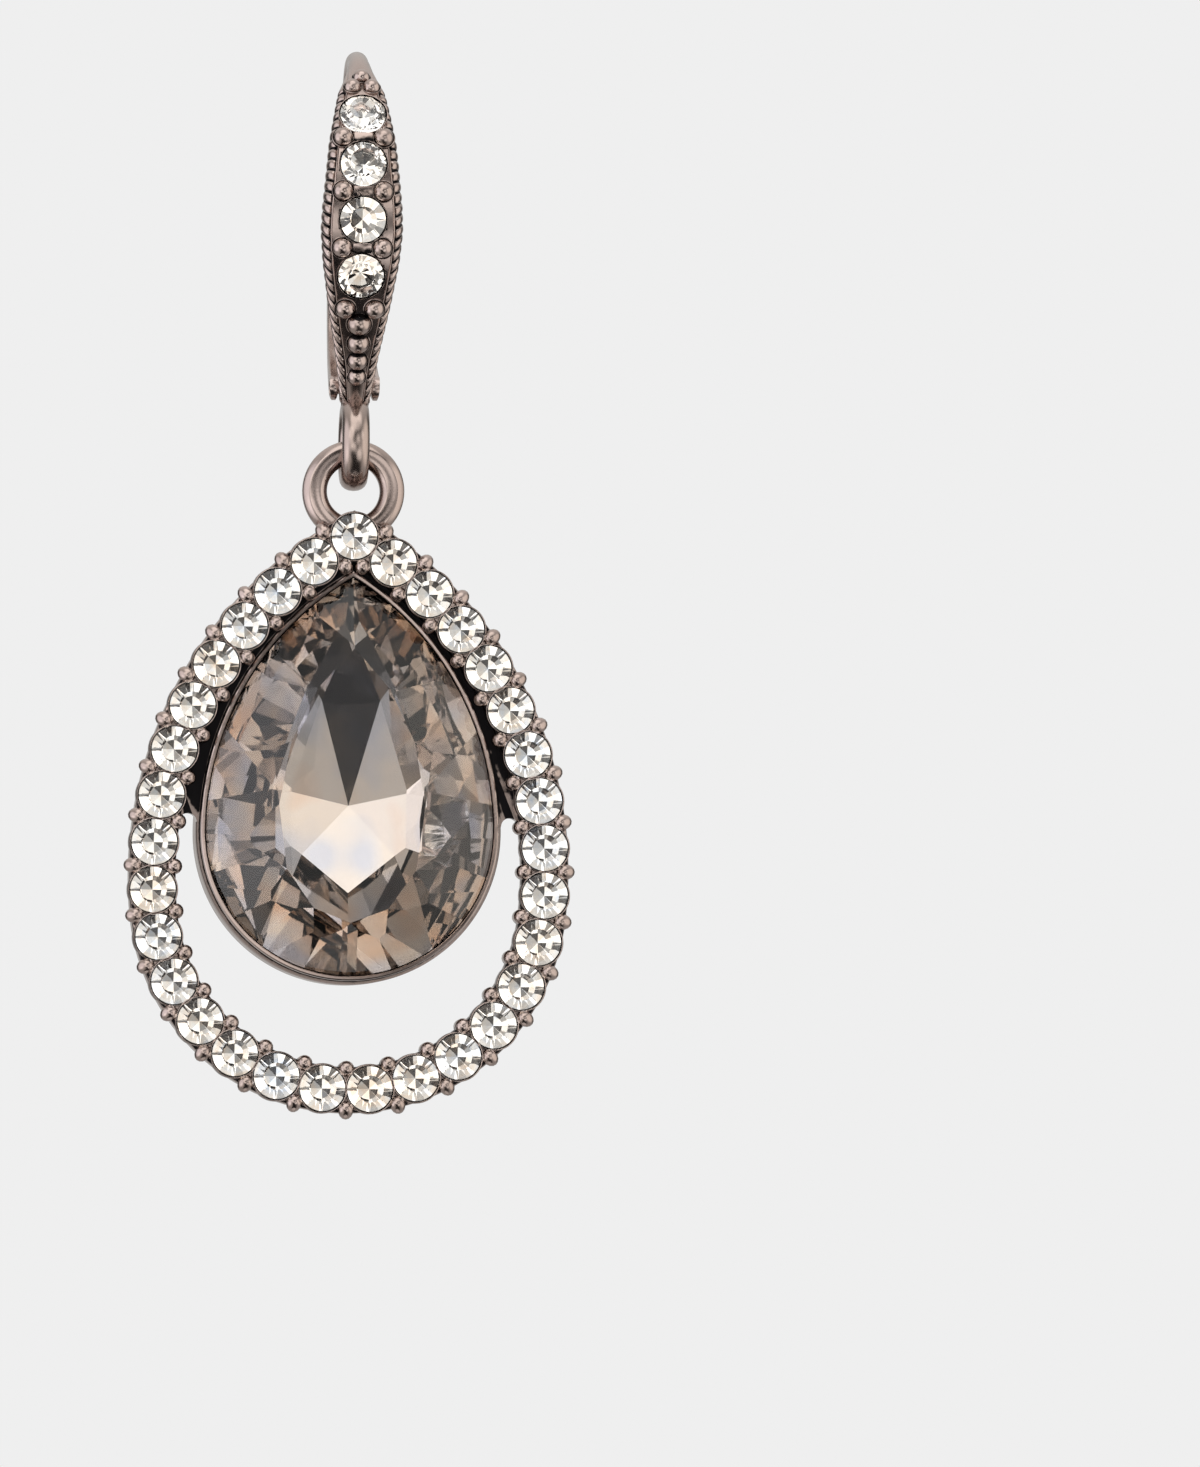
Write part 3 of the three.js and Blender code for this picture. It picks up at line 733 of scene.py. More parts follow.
def lathe(name, rows, steps, axis=(0, 1, 0)):
    """A closed profile of radius, depth and black, spun round an axis through the origin."""
    start()
    bpy.ops.mesh.primitive_circle_add(vertices=len(rows), radius=MM, fill_type="NOTHING")
    piece = named(name)
    for vertex, value, row in zip(piece.data.vertices, patina_shade_of(piece), rows):
        spot = (row["r"], row["y"], 0) if axis[1] else (row["y"], 0, row["r"])
        vertex.co = Vector(spot) * MM
        value.value = row.get("black", 0.0)
    bpy.ops.object.mode_set(mode="EDIT")
    bpy.ops.mesh.select_all(action="SELECT")
    bpy.ops.mesh.spin(steps=steps, angle=2 * math.pi, center=(0, 0, 0), axis=axis)
    return outward(piece)


def dome(radius, sink, rings):
    """Profile of a bead: a half round on a sunk foot that stays black, as patina and painted shade.
    """
    rows = [{"r": 0, "y": sink}, {"r": radius, "y": sink, "black": 1}]
    for k in range(rings):
        turn = math.pi / 2 * k / rings
        rows.append({"r": radius * math.cos(turn), "y": -radius * math.sin(turn)})
    return rows + [{"r": 0, "y": -radius}]


join = round(math.degrees(halo.join), 1)
print("arcs of the band:", round(halo_bottom, 2), round(halo_side, 2), "mm, joined at", join)

# %% [markdown]
# The band itself is cast in one piece with its seats, and each stone is pushed into a hole that was
# drilled for it. Its section is a box with rounded edges, which a path with a bevel could give too,
# but the ring method keeps the black with every row: all black on top between the stones, bare on
# the outer wall, and partly black inside. This black is patina where a cloth hardly gets and
# painted shade in the hollows. The holes are real booleans, so that dark gaps show beside the
# stones.

# %% The band and its seats
band_depth = 2.1
band_half = 1.05
band_sink = 0.14
edge_round = 0.12
seat_depth = 1.2


def seat_drills(matrices, name):
    """Drills for the seats, as two objects, so that neighbours never overlap in one."""
    drills = []
    for matrix in matrices:
        drill = rod(name, chaton_radius + seat_clearance, 2 * seat_depth)
        drill.data.transform(matrix)
        drills.append(drill)
    return [joined(drills[0::2], name + "_odd"), joined(drills[1::2], name + "_even")]


def band():
    """The band's section, swept round its teardrop line and drilled for the stones."""
    top, back = band_face + band_sink, band_face + band_depth
    half, soft = band_half, edge_round
    # Each row's black is patina and painted shade together.
    section = [
        {"out": -half + soft, "y": top, "black": 1},
        {"out": half - soft, "y": top, "black": 1},
        {"out": half - soft * 0.3, "y": top + soft * 0.3, "black": 0.5},
        {"out": half, "y": top + soft},
        {"out": half, "y": back - soft},
        {"out": half - soft * 0.3, "y": back - soft * 0.3},
        {"out": half - soft, "y": back},
        {"out": -half + soft, "y": back},
        {"out": -half + soft * 0.3, "y": back - soft * 0.3},
        {"out": -half, "y": back - soft, "black": 0.3},
        {"out": -half, "y": top + soft, "black": 0.7},
        {"out": -half + soft * 0.3, "y": top + soft * 0.3, "black": 1},
    ]
    piece = swept("drop_band", halo, halo_centre, section, 8 * len(halo_places))
    carve(piece, seat_drills(halo_matrices, "seats"))
    return plated(piece, 30)


halo_matrices = [Matrix.Translation(place * MM) for place in halo_places]
drop_band = finish(band(), DROP, ["drop_frame"])
print("band:", len(drop_band.data.polygons), "faces")

# %% [markdown]
# A collet is the thin collar of metal round a stone. From the front little more of it shows than a
# bright line. It is turned like a part on a lathe: a profile is drawn once and spun round the
# stone's axis. One collet is made and copied to every stone of the band.

# %% Collets of the band
collet_wall = 0.12
collet_depth = 1.3
collet_proud = 0.05

rim = chaton_radius + collet_wall
inside = chaton_radius + 0.03
# A row's black stands for patina and painted shade: in the gap round the stone and down the outer
# wall.
COLLET = [
    {"r": rim, "y": collet_depth, "black": 0.3},
    {"r": rim, "y": 0.06, "black": 0.7},
    {"r": rim - 0.008, "y": -0.02, "black": 0.2},
    {"r": rim - 0.025, "y": -collet_proud},
    {"r": rim - 0.045, "y": -collet_proud * 0.9, "black": 0.2},
    {"r": inside + 0.02, "y": 0.01, "black": 1},
    {"r": inside, "y": 0.05, "black": 1},
    {"r": inside, "y": collet_depth, "black": 1},
]
master_collet = plated(lathe("collet", COLLET, 40), 40)
collets = [
    copy_of(master_collet, "collet_%02d" % (k + 1), matrix)
    for k, matrix in enumerate(halo_matrices)
]
bpy.data.objects.remove(master_collet)
halo_collets = finish(joined(collets, "halo_collets"), DROP)
print("collets:", len(halo_collets.data.polygons), "faces")

# %% [markdown]
# Between each two stones sit two prongs, small beads of metal that are pushed over both stones'
# edges to hold them. The outer ones are drawn out over the band's edge and run down its wall as
# stems; the inner ones are rounder. A half round on a sunk foot is spun once for each kind, pulled
# into shape, and copied to every gap along the same teardrop line.

# %% Prongs of the band
prong_radius = 0.365
prong_outside = 0.86
prong_inside = 0.97
prong_rise = 0.3
prong_length = 1.7
prong_droop = 0.9
outer_stretch = 1.3
outer_stem = 0.72
inner_stem = 0.9


def prong(name, stretch, stem):
    """A bead whose foot runs down the wall as a stem; stretch draws it out from the band."""
    piece = lathe(name, dome(prong_radius, prong_length, 5), 16)
    for vertex, value in zip(piece.data.vertices, patina_shade_of(piece)):
        p = vertex.co / MM
        deep = max(0.0, p.y) / prong_length
        shrink = 1 - (1 - stem) * min(1, deep * 2)
        x = p.x * shrink * (stretch if p.x > 0 else 1)
        y = p.y
        if p.y <= 0 and p.x > 0:
            y = p.y + (stretch - 1) * prong_droop * p.x
        vertex.co = Vector((x, y, p.z * shrink)) * MM
        # Black patina and painted shade on the stem below the bead.
        value.value = 1.0 if p.y > 0.02 and p.x < prong_radius * 0.5 else 0.0
    return plated(piece, 50)


outer_prong = prong("outer_prong", outer_stretch, outer_stem)
inner_prong = prong("inner_prong", 1.0, inner_stem)
prongs = []
for k in range(len(halo_places)):
    x, z, turn = halo.line(2 * len(halo_places))[2 * k + 1]
    out = Vector((math.cos(turn), 0, math.sin(turn)))
    foot = Vector((x, band_face - prong_rise + prong_radius, z + halo_z))
    spin = Matrix.Rotation(-turn, 4, "Y")
    for master, side in ((outer_prong, prong_outside), (inner_prong, -prong_inside)):
        place = Matrix.Translation((foot + out * side) * MM)
        turned = spin if side > 0 else spin @ Matrix.Rotation(math.pi, 4, "Y")
        prongs.append(copy_of(master, "prong_%03d" % len(prongs), place @ turned))
bpy.data.objects.remove(outer_prong)
bpy.data.objects.remove(inner_prong)
halo_prongs = finish(joined(prongs, "halo_prongs"), DROP)
print("prongs:", len(halo_prongs.data.polygons), "faces")

# %% [markdown]
# The large stone lies in a deep cup. From the front only its thin lip shows, and the black line
# where the lip meets the wider flange behind, which is painted shade as well as patina. The section
# runs from the back's edge up the outside, over the lip and down the inside to a ledge that carries
# the stone; the rows inside are black with patina and painted shade. Both its ends close in a flat
# face, the cup's back and its floor.

# %% The pear's cup
bezel_wall = 0.26
bezel_lip = 0.12
flange_wall = 0.42
flange_drop = 1.0
ledge_width = 0.3
ledge_drop = 0.34
cup_depth = 4.25
cup_floor = 0.35
cup_seat_gap = 0.05
cup_edge = 0.1
cup_steps = 200


def pear_cup():
    """The cup's section, swept round the pear's own line."""
    rim_y = pear_girdle_y - bezel_lip
    shelf = rim_y + flange_drop
    back = pear_girdle_y + cup_depth
    ledge = pear_girdle_y + pear_girdle + ledge_drop
    soft = cup_edge
    # Rows with black are patina and painted shade: the line under the lip and the hollows inside.
    section = [
        {"out": flange_wall - soft, "y": back},
        {"out": flange_wall - soft * 0.3, "y": back - soft * 0.3},
        {"out": flange_wall, "y": back - soft},
        {"out": flange_wall, "y": shelf + soft * 0.6},
        {"out": flange_wall - soft * 0.3, "y": shelf},
        {"out": bezel_wall + 0.03, "y": shelf, "black": 0.5},
        {"out": bezel_wall, "y": shelf - 0.03, "black": 1},
        {"out": bezel_wall, "y": shelf - 0.3, "black": 0.8},
        {"out": bezel_wall, "y": rim_y + 0.12, "black": 0},
        {"out": bezel_wall - 0.02, "y": rim_y + 0.03},
        {"out": bezel_wall - 0.07, "y": rim_y},
        {"out": cup_seat_gap + 0.04, "y": rim_y + 0.01},
        {"out": cup_seat_gap, "y": rim_y + 0.05, "black": 0.6},
        {"out": cup_seat_gap, "y": ledge, "black": 1},
        {"out": -ledge_width, "y": ledge, "black": 1},
        {"out": -ledge_width, "y": back - cup_floor, "black": 1},
    ]
    piece = swept("pear_cup", pear, pear_centre, section, cup_steps, closed=False)
    return plated(piece, 35)


cup = finish(pear_cup(), DROP)
print("cup:", len(cup.data.polygons), "faces")

# %% [markdown]
# Above the open crescent a sunken plate, the web, joins the cup to the band. It is black, as patina
# where no cloth gets so deep and as painted shade in its deep hollow, and it ends in a small arch on
# each side. A plate in the band's own outline is cut off level with bisect, and booleans take out
# the arches and the place of the cup. In front only its lowest edge is left bare, where the wiping
# reached it.

# %% The sunken web above the crescent
web_sink = 0.95
web_inset = 0.705
web_end = 3.2
web_bare = 0.35
web_steps = 120
plug_inset = 0.1


def half_width(drop, z, offset):
    """How far a teardrop's side reaches at a height, at an offset from its line."""
    radius = drop.side + offset
    return drop.side_x + math.sqrt(radius**2 - (z - drop.side_z) ** 2)


def sunken_web():
    """A plate in the band's outline, less all below its end, the two arches and the cup."""
    top, back = band_face + web_sink, band_face + band_depth
    end = halo_z + web_end
    outline = halo.line(web_steps, -web_inset)
    start()
    bpy.ops.mesh.primitive_circle_add(vertices=web_steps, radius=MM, fill_type="NGON")
    piece = named("sunken_web")
    for vertex, (x, z, _) in zip(piece.data.vertices, outline):
        vertex.co = Vector((x, top, z + halo_z)) * MM
    bpy.ops.object.mode_set(mode="EDIT")
    bpy.ops.mesh.select_all(action="SELECT")
    depth = (back - top) * MM
    bpy.ops.mesh.extrude_region_move(TRANSFORM_OT_translate={"value": (0, depth, 0)})
    bpy.ops.mesh.select_all(action="SELECT")
    bpy.ops.mesh.bisect(
        plane_co=Vector((0, 0, end)) * MM, plane_no=(0, 0, -1), use_fill=True, clear_outer=True
    )
    bpy.ops.object.mode_set(mode="OBJECT")
    in_band = half_width(halo, web_end, -band_half)
    out_cup = half_width(pear, end - pear_centre.z, flange_wall)
    radius, reach = (in_band - out_cup) / 2, (in_band + out_cup) / 2
    cuts = [rod("arch", radius, 3 * band_depth, (side * reach, back, end)) for side in (-1, 1)]
    plug = [{"out": flange_wall - plug_inset, "y": y} for y in (pear_low.y, back + 1)]
    cuts.append(swept("cup_plug", pear, pear_centre, plug, cup_steps, closed=False))
    carve(piece, cuts)
    outward(piece)
    # Black patina and painted shade over the sunken face, all but its lowest edge.
    set_patina_shade(piece, lambda p: 1.0 if p.y < top + 0.1 and p.z > end + web_bare else 0.0)
    return plated(piece, 30)


web = finish(sunken_web(), DROP)
print("web:", len(web.data.polygons), "faces")

# %% [markdown]
# The drop hangs by a flat ring that stands upright on the band, with filed edges that catch the
# light as thin bright facets. A torus would be too round. So an eight-cornered profile is spun, and
# each of its corners is split in two, which keeps the flats flat and the edges barely soft.

# %% The bail ring
ring_outer = 2.31
ring_bar = 1.1
ring_thick = 1.2
ring_bevel = 0.28
ring_to_stone = 2.1
ring_edge = 0.05
ring_centre = Vector((0, hang_bar.y, halo_places[0].z + ring_to_stone))


def bail_ring():
    """An eight-cornered profile with soft corners, spun round the ring's middle."""
    inner, half, edge = ring_outer - ring_bar, ring_thick / 2, ring_bevel
    rows = []
    corners = [
        (ring_outer, -half + edge),
        (ring_outer - edge, -half),
        (inner + edge, -half),
        (inner, -half + edge),
        (inner, half - edge),
        (inner + edge, half),
        (ring_outer - edge, half),
        (ring_outer, half - edge),
    ]
    for k, corner in enumerate(corners):
        here = Vector(corner)
        before, after = Vector(corners[k - 1]), Vector(corners[(k + 1) % len(corners)])
        # Painted shade: the inner wall is a little darker.
        black = 0.25 if k in (3, 4) else 0
        for other in (before, after):
            spot = here + (other - here).normalized() * ring_edge
            rows.append({"r": spot.x, "y": spot.y, "black": black})
    piece = lathe("bail_ring", rows, 72)
    piece.data.transform(Matrix.Translation(ring_centre * MM))
    return plated(piece, 25)


ring = finish(bail_ring(), DROP)
print("bail ring:", len(ring.data.polygons), "faces")

# %% [markdown]
# ## The hook
#
# The hook's outer face runs up behind the ear lobe, over the arch, and down the front. A length
# along that face and a depth under it place every point. So the hook is modelled as a straight
# sheet first, whose rows are cross-sections, and pressed round that line: a wire at the back, a
# flat-topped shield with a raised border and ridged edges in front, and a slim tail.

# %% The line of the hook's face
wire = 0.95
arch_radius = 7.4
back_radius = 3.3
wire_leg = 5.75
tip_taper = 0.6
shield_width = 3.76
shield_thick = 2.0
wire_run = 2.0
tail_lean = 30
tail_length = 6.25
tail_width = 1.22
tail_thick = 1.05
ridge_pitch = 0.54
ridge_depth = 0.2
ridge_stop = 0.5
ridge_slant = (0.12, 0.75)

# Rows of the shield's widths and thicknesses: the share of the way from the wire to the tail's
# end, then each size's share of the way from the wire's own to the fullest.
SHIELD = [
    (0.00, 0.00, 0.00),
    (0.07, 0.12, 0.20),
    (0.17, 0.44, 0.55),
    (0.32, 0.76, 0.90),
    (0.49, 0.97, 1.00),
    (0.55, 1.00, 1.00),
    (0.63, 0.91, 0.95),
    (0.74, 0.69, 0.75),
    (0.87, 0.37, 0.40),
]
arch_top = wire / 2
arc_length = arch_radius * math.radians(90 + tail_lean)
bend_length = back_radius * math.pi / 2
face_length = arc_length + tail_length
back_end = -bend_length - wire_leg


def face_at(distance):
    """Y, Z and lean of the hook's outer face, at a distance from the top of the arch."""
    if distance < -bend_length:
        return back_radius, arch_top - back_radius + distance + bend_length, math.pi
    radius = back_radius if distance < 0 else arch_radius
    along = min(distance, arc_length)
    lean = math.pi / 2 - along / radius
    y = -radius * math.cos(lean)
    z = arch_top - radius + radius * math.sin(lean)
    past = distance - along
    return y - past * math.sin(lean), z - past * math.cos(lean), lean


def under_face(distance, side, depth):
    """A point at a distance along the face, a way to the side, and a depth under it."""
    y, z, lean = face_at(distance)
    return Vector((side, y + depth * math.cos(lean), z - depth * math.sin(lean)))


def sizes_at(distance):
    """Width, thickness and squareness of the section."""
    way = clamped((distance - wire_run) / (face_length - wire_run))
    wider, thicker = shield_width - wire, shield_thick - wire
    rows = [(share, wire + w * wider, wire + t * thicker) for share, w, t in SHIELD]
    rows.append((1.0, tail_width, tail_thick))
    after = next(k for k in range(1, len(rows)) if rows[k][0] >= way)
    (a, wa, ta), (b, wb, tb) = rows[after - 1], rows[after]
    t = (way - a) / (b - a)
    return wa + t * (wb - wa), ta + t * (tb - ta), min(1.0, way / SHIELD[2][0])


ridge_start = wire_run + SHIELD[2][0] * (face_length - wire_run)
ridge_end = face_length - ridge_stop
ridge_count = round((ridge_end - ridge_start) / ridge_pitch)
print("hook face:", round(face_length, 2), "mm in front,", ridge_count, "ridges on each side")

# %% [markdown]
# The shield's edge is where the craft shows: a sunk line inside a raised border, and slanting
# rounded ridges with black slots between them, whose black is patina and painted shade. Modelling
# each ridge apart would leave seams. Here the sheet's columns each have a task, from the flat strip
# in the middle over line, lobe and wall to the rear, and the lobe's points sink where a slot runs.
# Where the hook becomes a wire, every column glides to its place on an oval.

# %% Press the sheet into the hook
border_share = 0.27
border_widest = 0.5
strip_camber = 0.07
line_share = 0.2
line_depths = (-0.035, -0.02, 0.1)
lobe_lift = 0.06
lobe_foot = 0.42
wall_foot = 0.75
tip_blunt = 0.45
# How far round each hook stone a ring of painted shade reaches.
seat_shade = 0.1
STRIP, LINE, LOBE, WALL, REAR = 8, 3, 9, 3, 6
HALF = STRIP + LINE + LOBE + WALL + REAR


def slot_at(column, distance):
    """How far down in a slot between two ridges a point is: 0 on a ridge, 1 at the bottom."""
    if not ridge_start <= distance <= ridge_end:
        return 0.0
    across = clamped((column - STRIP - LINE) / LOBE)
    way = clamped((distance - ridge_start) / (ridge_end - ridge_start))
    slant = ridge_slant[0] + (ridge_slant[1] - ridge_slant[0]) * way**2
    turn = (distance + slant * across - ridge_start) / ridge_pitch + 0.5
    turn -= math.floor(turn)
    return 1 - math.sqrt(max(0.0, 1 - (2 * turn - 1) ** 2))


def section_point(column, distance):
    """Side, depth and black of one of the columns from the front's middle to the back's."""
    width, thick, square = sizes_at(distance)
    half = width / 2
    edge = min(border_widest, border_share * width)
    inner = half - edge
    lobe_in = inner + edge * line_share
    slot = slot_at(column, distance)
    black = 0.0
    if column <= STRIP:
        share = column / STRIP
        spot = Vector((inner * share, strip_camber * share**2))
    elif column <= STRIP + LINE:
        share = (column - STRIP) / LINE
        depth = strip_camber + line_depths[column - STRIP - 1]
        spot = Vector((inner + edge * line_share * share, depth))
        # Black patina and painted shade in the sunk line, more where a slot meets it.
        if column == STRIP + LINE:
            black = 0.55 + 0.45 * slot if ridge_start <= distance <= ridge_end else 0.4
    elif column <= STRIP + LINE + LOBE:
        share = (column - STRIP - LINE) / LOBE
        phi = math.pi / 2 * share
        top = strip_camber + line_depths[-1]
        depth = top - lobe_lift + (lobe_foot * thick - top) * (1 - math.cos(phi))
        spot = Vector((lobe_in + (half - lobe_in) * math.sin(phi), depth))
        deep = ridge_depth * slot * (1.0 if share < 0.7 else 1.0 - 0.35 * (share - 0.7) / 0.3)
        spot += Vector((-deep * math.sin(phi) * 0.8, deep * math.cos(phi)))
        # Black patina and painted shade down in the slots, less towards the wall.
        black = max(0.0, slot * 2.8 - 0.5) * (1.2 - 0.6 * share)
    elif column <= STRIP + LINE + LOBE + WALL:
        share = (column - STRIP - LINE - LOBE) / WALL
        depth = lobe_foot * thick + share * (wall_foot - lobe_foot) * thick
        side = half * (1 - 0.05 * share) - ridge_depth * slot * 0.5 * (1 - share)
        spot = Vector((side, depth))
        # Black patina and painted shade where a slot reaches the wall.
        black = max(0.0, slot * 1.5 - 0.6) * (1 - share)
    else:
        share = (column - STRIP - LINE - LOBE - WALL) / REAR
        phi = math.pi / 2 * share
        depth = thick * (wall_foot + (1 - wall_foot) * math.sin(phi) ** 0.8)
        spot = Vector((half * 0.95 * math.cos(phi) ** 0.65, depth))
    turn = math.pi * column / HALF
    tip = min(1.0, tip_blunt + (1 - tip_blunt) * (distance - back_end) / tip_taper)
    oval = Vector((half * tip * math.sin(turn), thick / 2 * (1 - tip * math.cos(turn))))
    mixed = oval.lerp(spot, square**1.5)
    return mixed.x, mixed.y, black * square


def hook_rows():
    """Distances of the cross-sections, from the wire's tip to the tail's end."""
    rows = [back_end + tip_taper * s for s in (0, 0.12, 0.3, 0.6, 1)]
    rows += [back_end + tip_taper + (wire_leg - tip_taper) * k / 8 for k in range(1, 9)]
    rows += [-bend_length + bend_length * k / 24 for k in range(1, 25)]
    rows += [ridge_start * k / 24 for k in range(1, 25)]
    steps = 8 * ridge_count
    rows += [ridge_start + (ridge_end - ridge_start) * k / steps for k in range(1, steps + 1)]
    rows += [ridge_end + (face_length - ridge_end) * k / 4 for k in range(1, 5)]
    return rows


def hook_sheet():
    """A flat grid whose rows are cross-sections, pressed round the line of the hook's face."""
    rows = hook_rows()
    start()
    bpy.ops.mesh.primitive_grid_add(x_subdivisions=2 * HALF, y_subdivisions=len(rows) - 1, size=2)
    piece = named("ear_hook_body")
    for vertex, value in zip(piece.data.vertices, patina_shade_of(piece)):
        column = round((vertex.co.x + 1) * HALF) - HALF
        row = round((vertex.co.y + 1) / 2 * (len(rows) - 1))
        side, depth, black = section_point(abs(column), rows[row])
        value.value = black
        side = math.copysign(side, column) if column else side
        vertex.co = under_face(rows[row], side, depth) * MM
    bpy.ops.object.mode_set(mode="EDIT")
    bpy.ops.mesh.select_all(action="SELECT")
    bpy.ops.mesh.remove_doubles(threshold=merge_within * MM)
    bpy.ops.mesh.fill_holes(sides=0)
    bpy.ops.object.mode_set(mode="OBJECT")
    return outward(piece)


hook = hook_sheet()
hook_matrices = [p["matrix"] for p in hook_places]
carve(hook, seat_drills(hook_matrices, "hook_seats"))
# Painted shade: the metal round each of the hook's seats stays black.
for vertex, value in zip(hook.data.vertices, patina_shade_of(hook)):
    near = min((vertex.co / MM - p["girdle"]).length for p in hook_places)
    if near < chaton_radius + seat_shade:
        value.value = 1
finish(plated(hook, 32), HOOK, ["ear_hook"])
print("hook:", len(hook.data.polygons), "faces")

# %% [markdown]
# ## The hook's settings
#
# Each stone of the hook sits in a thin rim, and between them polished beads and small bridges stand
# in the black of patina and painted shade. Above and below the stones the beads go on, and four of
# them run down the tail, each with a black crescent of painted shadow under the bead above. Rims and
# beads are spun like the collets. A bridge is a block with rounded edges: one is plain, one is
# notched along its lower edge, and one has a pit.
# Beads and bridges are made at the origin and laid on the hook's face by a matrix that follows its
# curve. The rims are laid by the matrices of their stones.

# %% Round the edges of a piece
sharp_from = 50


def bevelled(piece, width):
    """Round the edges that turn by more than sharp_from degrees."""
    choose(piece)
    modifier = piece.modifiers.new("round", "BEVEL")
    modifier.width = width * MM
    modifier.segments = 2
    modifier.limit_method = "ANGLE"
    modifier.angle_limit = math.radians(sharp_from)
    bpy.ops.object.modifier_apply(modifier=modifier.name)
    return piece


print("edges are rounded where they turn by more than", sharp_from, "degrees")

# %% Sizes and places of the rims, beads and bridges
# A row's black is painted shade and patina: fully black in the gap round the stone, less down the
# rim's outer wall.
RIM = [
    {"r": chaton_radius + 0.1, "y": 0.5, "black": 0.4},
    {"r": chaton_radius + 0.1, "y": 0.01, "black": 0.1},
    {"r": chaton_radius + 0.092, "y": -0.02},
    {"r": chaton_radius + 0.078, "y": -0.02, "black": 0.3},
    {"r": chaton_radius + 0.065, "y": 0.04, "black": 1},
    {"r": chaton_radius + 0.03, "y": 0.07, "black": 1},
    {"r": chaton_radius + 0.03, "y": 0.5, "black": 1},
]
prong_bead = 0.455
crest_bead = 0.39
end_bead_reach = 1.7
trail_bead = 0.54
trail_shrink = 0.045
trail_count = 4
trail_gap = 0.05
# Where the painted shadow of the bead above begins on a trailing bead's top, and how sharply it
# darkens.
shadow_from = 0.6
shadow_sharp = 6
row_middle = 10.96
row_pitch = 2.57
hook_stops = [row_middle + (k - 1.5) * row_pitch for k in range(len(HOOK_STONES))]
bridge_width = 0.84
bridge_height = 0.46
bridge_rise = 0.1
bridge_thick = 0.15
bridge_edge = 0.03
bridge_kinds = ("plain", "notched", "pit")
notch_radius = 0.055
notch_pitch = 0.21
pit_depth = 0.22
print("the hook's stones are", row_pitch, "mm apart on its face")

# %% Lay rims and beads on the hook's face
def on_face(distance, side=0.0):
    """The matrix that lays a piece, made at the origin and facing -Y, on the hook's face."""
    lean = face_at(distance)[2]
    place = Matrix.Translation(under_face(distance, side, 0.0) * MM)
    return place @ Matrix.Rotation(-lean, 4, "X")


master_rim = smooth(lathe("rim", RIM, 48), 40)
rims = [copy_of(master_rim, "rim_%d" % k, matrix) for k, matrix in enumerate(hook_matrices)]
bpy.data.objects.remove(master_rim)
beads = []


def bead(distance, side, radius, shadowed_top=False):
    """A polished bead in a groove darkened by patina and painted shade; if asked, its top gets a
    crescent of painted shadow under the bead above.
    """
    groove = [
        {"r": radius * 1.13, "y": radius * 0.7, "black": 1},
        {"r": radius * 1.13, "y": -0.015, "black": 0.35},
        {"r": radius * 1.07, "y": -0.03, "black": 0.6},
        {"r": radius * 1.0, "y": 0.03, "black": 1},
    ]
    rows = dome(radius, radius * 0.7, 8)
    piece = lathe("bead", rows[:1] + groove + rows[3:], 24)
    if shadowed_top:
        # Painted shadow of the bead above: a black crescent across the bead's top.
        for vertex, value in zip(piece.data.vertices, patina_shade_of(piece)):
            height = vertex.co.z / MM / radius - shadow_from
            value.value = max(value.value, min(1.0, height * shadow_sharp))
    piece.data.transform(on_face(distance, side))
    beads.append(smooth(piece, 50))


for a, b in zip(hook_stops, hook_stops[1:]):
    for side in (-1, 1):
        bead((a + b) / 2, side * (chaton_radius - prong_bead / 4), prong_bead)
for side in (-1, 1):
    bead(hook_stops[0] - end_bead_reach, side * crest_bead * 1.1, crest_bead)
    bead(hook_stops[-1] + end_bead_reach, side * prong_bead * 1.45, prong_bead)
bead(hook_stops[0] - end_bead_reach - 1.9 * crest_bead, 0, crest_bead)
place = hook_stops[-1] + end_bead_reach + trail_bead + 0.5 * prong_bead
for k in range(trail_count):
    radius = trail_bead - k * trail_shrink
    bead(place, 0, radius, shadowed_top=True)
    place += 2 * radius - trail_shrink - trail_gap
print("beads:", len(beads))

# %% Bridges between the stones
def bridge(distance, kind):
    """The metal left between two seats: plain, notched along its lower edge, or with a pit."""
    wide, high, rise = bridge_width / 2, bridge_height / 2, bridge_rise
    start()
    bpy.ops.mesh.primitive_cube_add(size=2 * MM)
    piece = named("bridge")
    bpy.ops.object.mode_set(mode="EDIT")
    bpy.ops.transform.resize(value=(wide, bridge_thick, high), center_override=(0, 0, 0))
    bpy.ops.transform.translate(value=Vector((0, bridge_thick - rise, 0)) * MM)
    bpy.ops.object.mode_set(mode="OBJECT")
    if kind == "pit":
        for polygon in piece.data.polygons:
            polygon.select = polygon.normal.y < -0.9
        bpy.ops.object.mode_set(mode="EDIT")
        bpy.ops.mesh.select_mode(type="FACE")
        bpy.ops.mesh.inset(thickness=0.1 * MM)
        deeper = {"value": (0, pit_depth * MM, 0)}
        bpy.ops.mesh.extrude_region_move(TRANSFORM_OT_translate=deeper)
        bpy.ops.object.mode_set(mode="OBJECT")
    if kind == "notched":
        spots = [(k * notch_pitch, -rise, -high) for k in (-1, 0, 1)]
        cuts = [rod("notch", notch_radius, 0.4, spot, sides=12) for spot in spots]
        carve(piece, [joined(cuts, "notches")])
    bevelled(piece, bridge_edge)
    outward(piece)

    def black(p):
        """Bare on top but for the lowest edge; the sides and the pit are dark with patina and
        painted shade.
        """
        inside = abs(p.x) < wide - 0.06 and abs(p.z) < high - 0.06
        if kind == "pit" and inside and p.y > 0.02 - rise:
            return 1.0
        return 0.0 if p.y < 0.05 - rise and p.z > 0.04 - high else 0.8

    set_patina_shade(piece, black)
    piece.data.transform(on_face(distance))
    beads.append(smooth(piece, 35))


